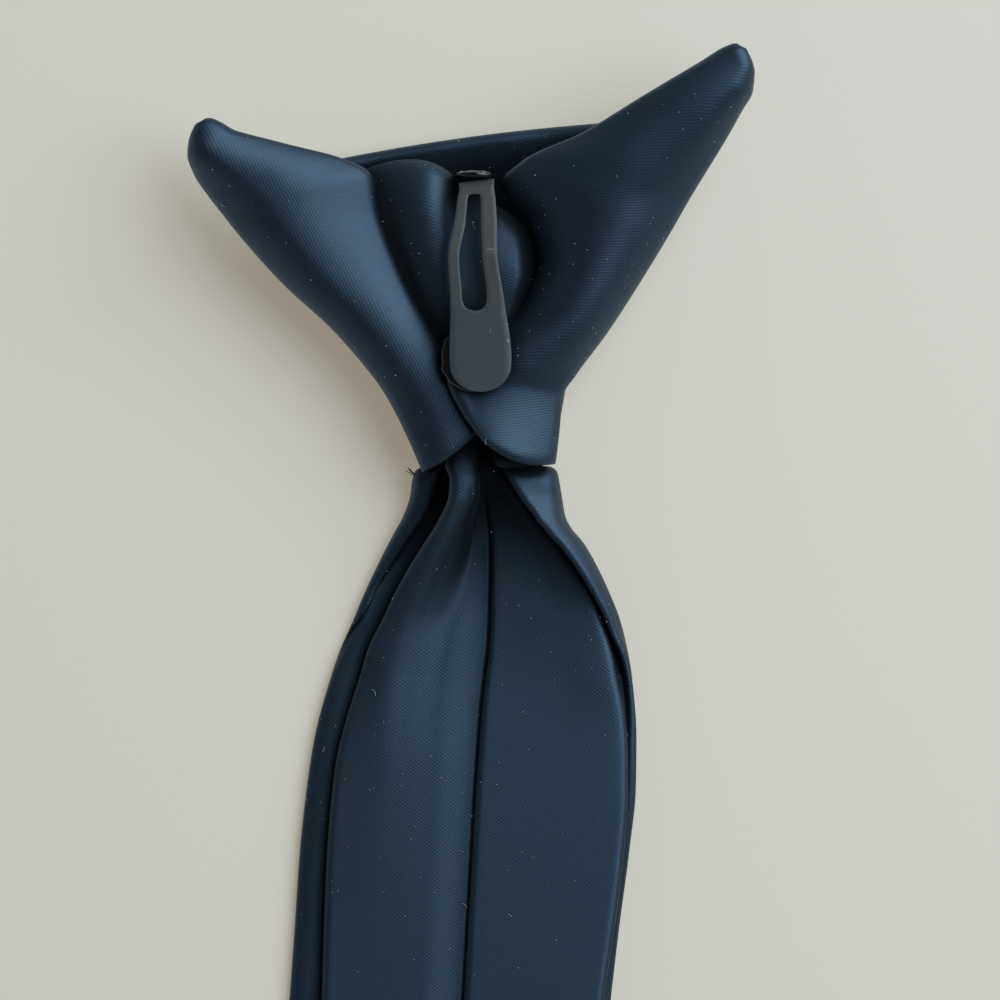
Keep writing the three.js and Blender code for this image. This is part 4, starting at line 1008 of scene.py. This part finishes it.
# The darker colour stands for dark threads and painted shade in the twill's grooves.
DARK_THREAD_AND_GROOVE_SHADE, LIGHT_THREAD_AND_RIDGE_LIGHT = (0.002, 0.0025, 0.003), (0.009, 0.011, 0.014)
SHEEN = (0.42, 0.68, 1.0)


def satin(name, twill, angle, painted_shade_reach, painted_shade_power, painted_light_lift):
    """Navy satin with its twill lines running at an angle, in degrees, from the X axis. Its sheen
    carries painted shade in folds and hollows: ambient occlusion out to a reach in millimetres,
    raised to a power, tints it towards black. The last factor lightens its colour, painted light
    on pieces that lie in shade."""
    material, tree, shader = new_material(
        name, Sheen_Weight=0.05, Sheen_Roughness=0.4, Sheen_Tint=(0.4, 0.6, 0.9, 1),
        Specular_IOR_Level=1.0, IOR=1.6,
    )
    uv = add_node(tree, "ShaderNodeUVMap", uv_map="cloth").outputs[0]
    turn = {"Vector": uv, "Rotation": (0, 0, math.radians(90 - angle))}
    turned = add_node(tree, "ShaderNodeMapping", turn).outputs[0]
    weave = placed(tree, twill, Cloth=turned, Pitch=TWILL_PITCH).outputs
    tree.links.new(bump(tree, weave["Height"], strength=0.13, distance=0.11), shader["Normal"])
    blotches = maths(tree, "MULTIPLY", noise(tree, uv, scale=0.05, detail=3), 0.35)
    share = maths(tree, "MULTIPLY_ADD", weave["Thread tone and groove shade"], 0.75, blotches)
    # Painted light: the base colour is lifted by a factor on the knot's panel, the fold and the tail, the
    # same cloth as the wings, to lighten them where they lie in shade.
    dark, light = (tuple(painted_light_lift * level for level in colour) for colour in (DARK_THREAD_AND_GROOVE_SHADE, LIGHT_THREAD_AND_RIDGE_LIGHT))
    tree.links.new(blend(tree, share, dark, light), shader["Base Color"])
    tree.links.new(maths(tree, "MULTIPLY_ADD", weave["Thread tone and groove shade"], 0.12, 0.42), shader["Roughness"])
    # Painted shade: ambient occlusion darkens the sheen's tint towards black in folds and hollows.
    painted_shade_occlusion = add_node(tree, "ShaderNodeAmbientOcclusion", {"Distance": painted_shade_reach * MM}).outputs["AO"]
    sheen_left_by_painted_shade = maths(tree, "POWER", painted_shade_occlusion, painted_shade_power)
    tree.links.new(blend(tree, sheen_left_by_painted_shade, (0.0, 0.0, 0.0), SHEEN), shader["Specular Tint"])
    return material


LEAF_MARKS = table(
    "x y wide high",
    (0.7, 37.8, 1.3, 0.16),
    (1.1, 39.6, 0.2, 0.2),
    (1.8, 45.0, 0.16, 0.3),
    (3.6, 24.3, 0.25, 0.3),
    (3.8, 21.4, 0.25, 0.55),
    (-1.6, 12.1, 0.35, 0.2),
    (0.5, 12.2, 0.4, 0.25),
    (0.6, 23.2, 0.16, 0.8),
)
PLATE_Y = (25.0, 31.0)
# The arms' browner grey is a painted reflection of warm surroundings, where they tilt away from the plate.
PLATE_COOL_REFLECTION_GREY, ARM_WARM_REFLECTION_GREY, CLOUD_GREY = (0.05, 0.062, 0.073), (0.06, 0.06, 0.059), (0.085, 0.09, 0.095)
# Bright steel for the chips, also used for the painted highlight on faces turned to the light.
BARE_STEEL_AND_HIGHLIGHT = (0.34, 0.36, 0.38)


def chips_and_painted_highlight(tree, place, marks):
    """A mask of the leaf's chips, and a painted highlight on its faces turned to the right, towards
    the light.
    """
    normal = tree.nodes.new("ShaderNodeNewGeometry").outputs["True Normal"]
    right_facing_highlight = add_node(tree, "ShaderNodeSeparateXYZ", {0: normal}).outputs["X"]
    # Painted highlight: the faces turned to the right, the outer edge and the slot's left wall, take the
    # bright colour.
    total = maths(tree, "MULTIPLY", maths(tree, "SUBTRACT", right_facing_highlight, 0.4), 1.2)
    for x, y, wide, high in zip(*LEAF_MARKS.values()):
        centre = ((THROAT[0] + x) * MM, (THROAT[1] + y) * MM, LEAF_TOP_Z * MM)
        spot = placed(tree, marks, Place=place, Centre=centre, Reach=(wide * MM, high * MM, 3 * MM))
        total = maths(tree, "MAXIMUM", total, spot.outputs[0])
    return add_node(tree, "ShaderNodeClamp", {0: total}).outputs[0]


def coated_steel(marks):
    """Slate grey coating with a painted warm reflection that makes the two arms browner, chipped in
    places, with a painted highlight on the faces turned to the right.
    """
    material, tree, shader = new_material("coated spring steel", Roughness=0.36, Specular_IOR_Level=0.5)
    place = object_place(tree)
    low, high = ((THROAT[1] + y) * MM for y in PLATE_Y)
    split = add_node(tree, "ShaderNodeSeparateXYZ", {0: place})
    rise = {"Value": split.outputs["Y"], "From Min": low, "From Max": high}
    # Painted reflection: the leaf turns browner up the arms.
    arm_reflection_share = add_node(tree, "ShaderNodeMapRange", rise, interpolation_type="SMOOTHSTEP")
    base = blend(tree, arm_reflection_share.outputs["Result"], PLATE_COOL_REFLECTION_GREY, ARM_WARM_REFLECTION_GREY)
    cloudy = maths(tree, "MULTIPLY", noise(tree, place, scale=260, detail=4), 0.35)
    base = blend(tree, cloudy, base, CLOUD_GREY)
    # Bare steel in the chips, and the painted highlight on the faces turned right.
    base = blend(tree, chips_and_painted_highlight(tree, place, marks), base, BARE_STEEL_AND_HIGHLIGHT)
    tree.links.new(base, shader["Base Color"])
    grain = noise(tree, place, scale=2600, detail=3)
    tree.links.new(bump(tree, grain, strength=0.2, distance=0.05), shader["Normal"])
    return material


def gloss_plastic():
    material, tree, shader = new_material(
        "black gloss plastic", Base_Color=(0.004, 0.005, 0.006, 1), Specular_Tint=(0.7, 0.85, 1, 1),
        Specular_IOR_Level=0.8, Coat_Weight=0.6, Coat_Roughness=0.04,
    )
    smears = noise(tree, object_place(tree), scale=400, detail=3)
    rough = maths(tree, "MULTIPLY_ADD", smears, 0.2, 0.05)
    tree.links.new(rough, shader["Roughness"])
    return material


def pale_lint():
    material, tree, shader = new_material("lint", Roughness=0.9)
    shade = noise(tree, object_place(tree), scale=300, detail=1)
    grey = blend(tree, shade, (0.25, 0.25, 0.24), (0.85, 0.86, 0.86))
    tree.links.new(grey, shader["Base Color"])
    return material


def dark_strand():
    return new_material("strand", Base_Color=(0.006, 0.009, 0.01, 1), Roughness=0.6)[0]


# Lint, scattered by Geometry Nodes over the cloth's upper side

LINT_INPUTS = {
    "Specks": "NodeSocketFloat",
    "Hairs": "NodeSocketFloat",
    "Speck size": "NodeSocketFloat",
    "Hair length": "NodeSocketFloat",
    "Seed": "NodeSocketInt",
    "Material": "NodeSocketMaterial",
}
FACING_UP = 0.35
HAIR_THICKNESS = 0.022
HAIR_ARC = math.radians(95)


def scattered(tree, given, facing_up, density, shape, seed_offset, low, high):
    """Copies of a shape on the upper faces, turned at random and sized between low and high."""
    seed = maths(tree, "ADD", given["Seed"], seed_offset)
    spread = {"Mesh": given["Geometry"], "Selection": facing_up, "Density": density, "Seed": seed}
    points = add_node(tree, "GeometryNodeDistributePointsOnFaces", spread)
    sizes = {"Min": low, "Max": high, "Seed": seed}
    size = add_node(tree, "FunctionNodeRandomValue", sizes, data_type="FLOAT")
    spins = {"Min": (-0.25, -0.25, 0), "Max": (0.25, 0.25, 6.28), "Seed": seed}
    spin = add_node(tree, "FunctionNodeRandomValue", spins, data_type="FLOAT_VECTOR")
    as_rotation = add_node(tree, "FunctionNodeEulerToRotation", {0: spin.outputs["Value"]})
    both = {0: points.outputs["Rotation"], 1: as_rotation.outputs[0]}
    turned = add_node(tree, "FunctionNodeRotateRotation", both, rotation_space="LOCAL")
    copies = {
        "Points": points.outputs["Points"],
        "Instance": shape,
        "Rotation": turned.outputs[0],
        "Scale": size.outputs["Value"],
    }
    return add_node(tree, "GeometryNodeInstanceOnPoints", copies).outputs[0]


def hair_shape(tree, length):
    """A short thin arc of a tube."""
    bend = {"Resolution": 7, "Sweep Angle": HAIR_ARC, "Radius": length}
    arc = add_node(tree, "GeometryNodeCurveArc", bend)
    ring = {"Resolution": 3, "Radius": HAIR_THICKNESS * MM}
    section = add_node(tree, "GeometryNodeCurvePrimitiveCircle", ring)
    sweep = {"Curve": arc.outputs["Curve"], "Profile Curve": section.outputs["Curve"]}
    return add_node(tree, "GeometryNodeCurveToMesh", sweep).outputs["Mesh"]


def lint_tree():
    tree = bpy.data.node_groups.new("lint on cloth", "GeometryNodeTree")
    tree.interface.new_socket(name="Geometry", in_out="INPUT", socket_type="NodeSocketGeometry")
    for label, kind in LINT_INPUTS.items():
        tree.interface.new_socket(name=label, in_out="INPUT", socket_type=kind)
    tree.interface.new_socket(name="Geometry", in_out="OUTPUT", socket_type="NodeSocketGeometry")
    given = tree.nodes.new("NodeGroupInput").outputs
    made = tree.nodes.new("NodeGroupOutput").inputs
    normal = tree.nodes.new("GeometryNodeInputNormal").outputs[0]
    rise = add_node(tree, "ShaderNodeSeparateXYZ", {0: normal}).outputs["Z"]
    upper = {"A": rise, "B": FACING_UP}
    facing_up = add_node(tree, "FunctionNodeCompare", upper, operation="GREATER_THAN").outputs[0]
    speck = add_node(tree, "GeometryNodeMeshIcoSphere", {"Radius": given["Speck size"]}).outputs["Mesh"]
    hair = hair_shape(tree, given["Hair length"])
    joined = tree.nodes.new("GeometryNodeJoinGeometry")
    specks = scattered(tree, given, facing_up, given["Specks"], speck, seed_offset=0, low=0.35, high=1.5)
    hairs = scattered(tree, given, facing_up, given["Hairs"], hair, seed_offset=7, low=0.5, high=1.6)
    tree.links.new(specks, joined.inputs[0])
    tree.links.new(hairs, joined.inputs[0])
    real = add_node(tree, "GeometryNodeRealizeInstances", {0: joined.outputs[0]}).outputs[0]
    painted = {"Geometry": real, "Material": given["Material"]}
    tree.links.new(add_node(tree, "GeometryNodeSetMaterial", painted).outputs[0], made["Geometry"])
    return tree


def lint(cloths, material):
    """Specks and short hairs on the upper side of all the cloth, as one mesh."""
    places = np.concatenate([cloth.places for cloth in cloths])
    starts = np.cumsum([0] + [len(cloth.places) for cloth in cloths])
    faces = np.concatenate([cloth.faces + start for cloth, start in zip(cloths, starts)])
    carrier = mesh_object("lint", places, faces)
    bpy.context.scene.collection.objects.link(carrier)
    scatter = carrier.modifiers.new("lint", "NODES")
    scatter.node_group = lint_tree()
    sizes = {
        "Specks": 30000.0,
        "Hairs": 4500.0,
        "Speck size": 0.08 * MM,
        "Hair length": 0.6 * MM,
        "Seed": 5,
        "Material": material,
    }
    for socket in scatter.node_group.interface.items_tree:
        if socket.in_out == "INPUT" and socket.name in sizes:
            scatter[socket.identifier] = sizes[socket.name]
    return finished(plain_mesh(carrier), material)


# Strands frayed from the lower corner of the left wing

STRANDS = table(
    "x y z",
    (-10.9, -2.5, 10.6),
    (-12.2, -2.9, 10.3),
    (-13.3, -2.4, 10.6),
    (-14.6, -2.1, 10.9),
)
STRAND_RADIUS = 0.07
STRAND_COUNT = 4


def frayed_strands(material):
    curve = bpy.data.curves.new("frayed_strands", "CURVE")
    curve.dimensions = "3D"
    curve.bevel_depth = STRAND_RADIUS * MM
    curve.bevel_resolution = 1
    draw = np.random.RandomState(8)
    middle = np.stack(list(STRANDS.values()), 1)
    for _ in range(STRAND_COUNT):
        stray = draw.uniform(-0.7, 0.7, middle.shape)
        path = middle + np.linspace(0, 1, len(middle))[:, None] * stray
        spline = curve.splines.new("NURBS")
        spline.points.add(len(path) - 1)
        for point, place in zip(spline.points, (path + THROAT) * MM):
            point.co = (*place, 1)
        spline.use_endpoint_u = True
    drawn = bpy.data.objects.new("frayed_strands", curve)
    bpy.context.scene.collection.objects.link(drawn)
    evaluated = drawn.evaluated_get(bpy.context.evaluated_depsgraph_get())
    mesh = bpy.data.meshes.new_from_object(evaluated)
    bpy.data.objects.remove(drawn)
    return finished(bpy.data.objects.new("frayed_strands", mesh), material)


# Floor, light and camera

FLOOR_HALF = 3.0


def floor():
    mesh = bpy.data.meshes.new("floor")
    corners = [(x * FLOOR_HALF, y * FLOOR_HALF, 0) for x, y in ((-1, -1), (1, -1), (1, 1), (-1, 1))]
    mesh.from_pydata(corners, [], [(0, 1, 2, 3)])
    # The floor also glows faintly with warm light, painted light that lifts its shadows.
    material = new_material(
        "pale floor", Base_Color=(0.63, 0.61, 0.57, 1), Roughness=0.8,
        Emission_Color=(1.0, 0.88, 0.68, 1), Emission_Strength=0.25,
    )[0]
    mesh.materials.append(material)
    ground = bpy.data.objects.new("floor", mesh)
    bpy.context.scene.collection.objects.link(ground)


def area_light(name, place, target, size, power, colour):
    data = bpy.data.lights.new(name, "AREA")
    data.shape = "DISK"
    data.size = size
    data.energy = power
    data.color = colour
    light = bpy.data.objects.new(name, data)
    light.location = place
    light.rotation_euler = (Vector(target) - Vector(place)).to_track_quat("-Z", "Y").to_euler()
    bpy.context.scene.collection.objects.link(light)


def studio():
    """One large soft light from the upper right, and a sky that is brighter near the horizon."""
    world = bpy.data.worlds.new("studio")
    world.use_nodes = True
    tree = world.node_tree
    background = tree.nodes["Background"].inputs
    way = tree.nodes.new("ShaderNodeTexCoord").outputs["Generated"]
    rise = add_node(tree, "ShaderNodeSeparateXYZ", {0: way}).outputs["Z"]
    level = maths(tree, "SUBTRACT", 1.0, maths(tree, "MULTIPLY", rise, rise))
    low_light = maths(tree, "MULTIPLY_ADD", maths(tree, "MULTIPLY", level, level), 0.25, 0.05)
    tree.links.new(low_light, background["Strength"])
    background["Color"].default_value = (0.9, 0.94, 0.96, 1)
    bpy.context.scene.world = world
    knot = Vector((THROAT[0] * MM, THROAT[1] * MM, 0))
    from_knot = Vector((0.82, 0.5, 1.08))
    area_light("window", knot + from_knot, knot, size=1.6, power=19.5, colour=(0.8, 0.92, 1.0))
    bpy.context.scene.view_settings.view_transform = "Standard"


CAMERA_AIM = (2.3, -7.2)
CAMERA_HEIGHT = 1500.0
FIELD = 180.0
FIELD_Z = 15.0


def camera():
    data = bpy.data.cameras.new("camera")
    data.sensor_width = 36.0
    data.lens = data.sensor_width * (CAMERA_HEIGHT - FIELD_Z) / FIELD
    view = bpy.data.objects.new("camera", data)
    x, y = THROAT[:2] + CAMERA_AIM
    view.location = (x * MM, y * MM, CAMERA_HEIGHT * MM)
    bpy.context.scene.collection.objects.link(view)
    bpy.context.scene.camera = view


camera()
floor()
studio()

front_panel = knot_front()
front = front_blade()
tail = tail_blade()
fold = center_fold([front_panel.tree, front.tree, tail.tree])
under_wings = [front_panel.tree, front.tree, tail.tree, fold.tree]
left_wing = wing("wing_left", LEFT_WING, under_wings, seed=21)
right_wing = wing("wing_right", RIGHT_WING, [*under_wings, left_wing.tree], seed=34)

# Each piece of cloth with its slot, its satin's angle, the reach and power of the painted shade on
# its sheen, how much painted light lifts its colour, and how full it is.
cloths = [
    (front_panel, "knot_cloth", -20, 9, 3.0, 1.4, 0.4),
    (front, "blade_cloth", -38, 9, 3.0, 1.0, 0.2),
    (tail, "blade_cloth", -38, 26, 7.0, 1.1, 0.2),
    (fold, "knot_cloth", -20, 9, 3.0, 1.8, 0.4),
    (left_wing, "knot_cloth", -62, 9, 3.0, 1.0, 0.6),
    (right_wing, "knot_cloth", 6, 9, 3.0, 1.0, 0.6),
]
twill = twill_group()
for cloth, slot, angle, painted_shade_reach, painted_shade_power, painted_light_lift, fill in cloths:
    material = satin(cloth.name + " satin", twill, angle, painted_shade_reach, painted_shade_power, painted_light_lift)
    finished(cloth.object(cloth.name + "_visual"), material, cloth.name)

plastic = gloss_plastic()
clip_leaf(coated_steel(mark_group()))
clip_lug(plastic)
clip_pad(plastic)
lint([row[0] for row in cloths], pale_lint())
frayed_strands(dark_strand())
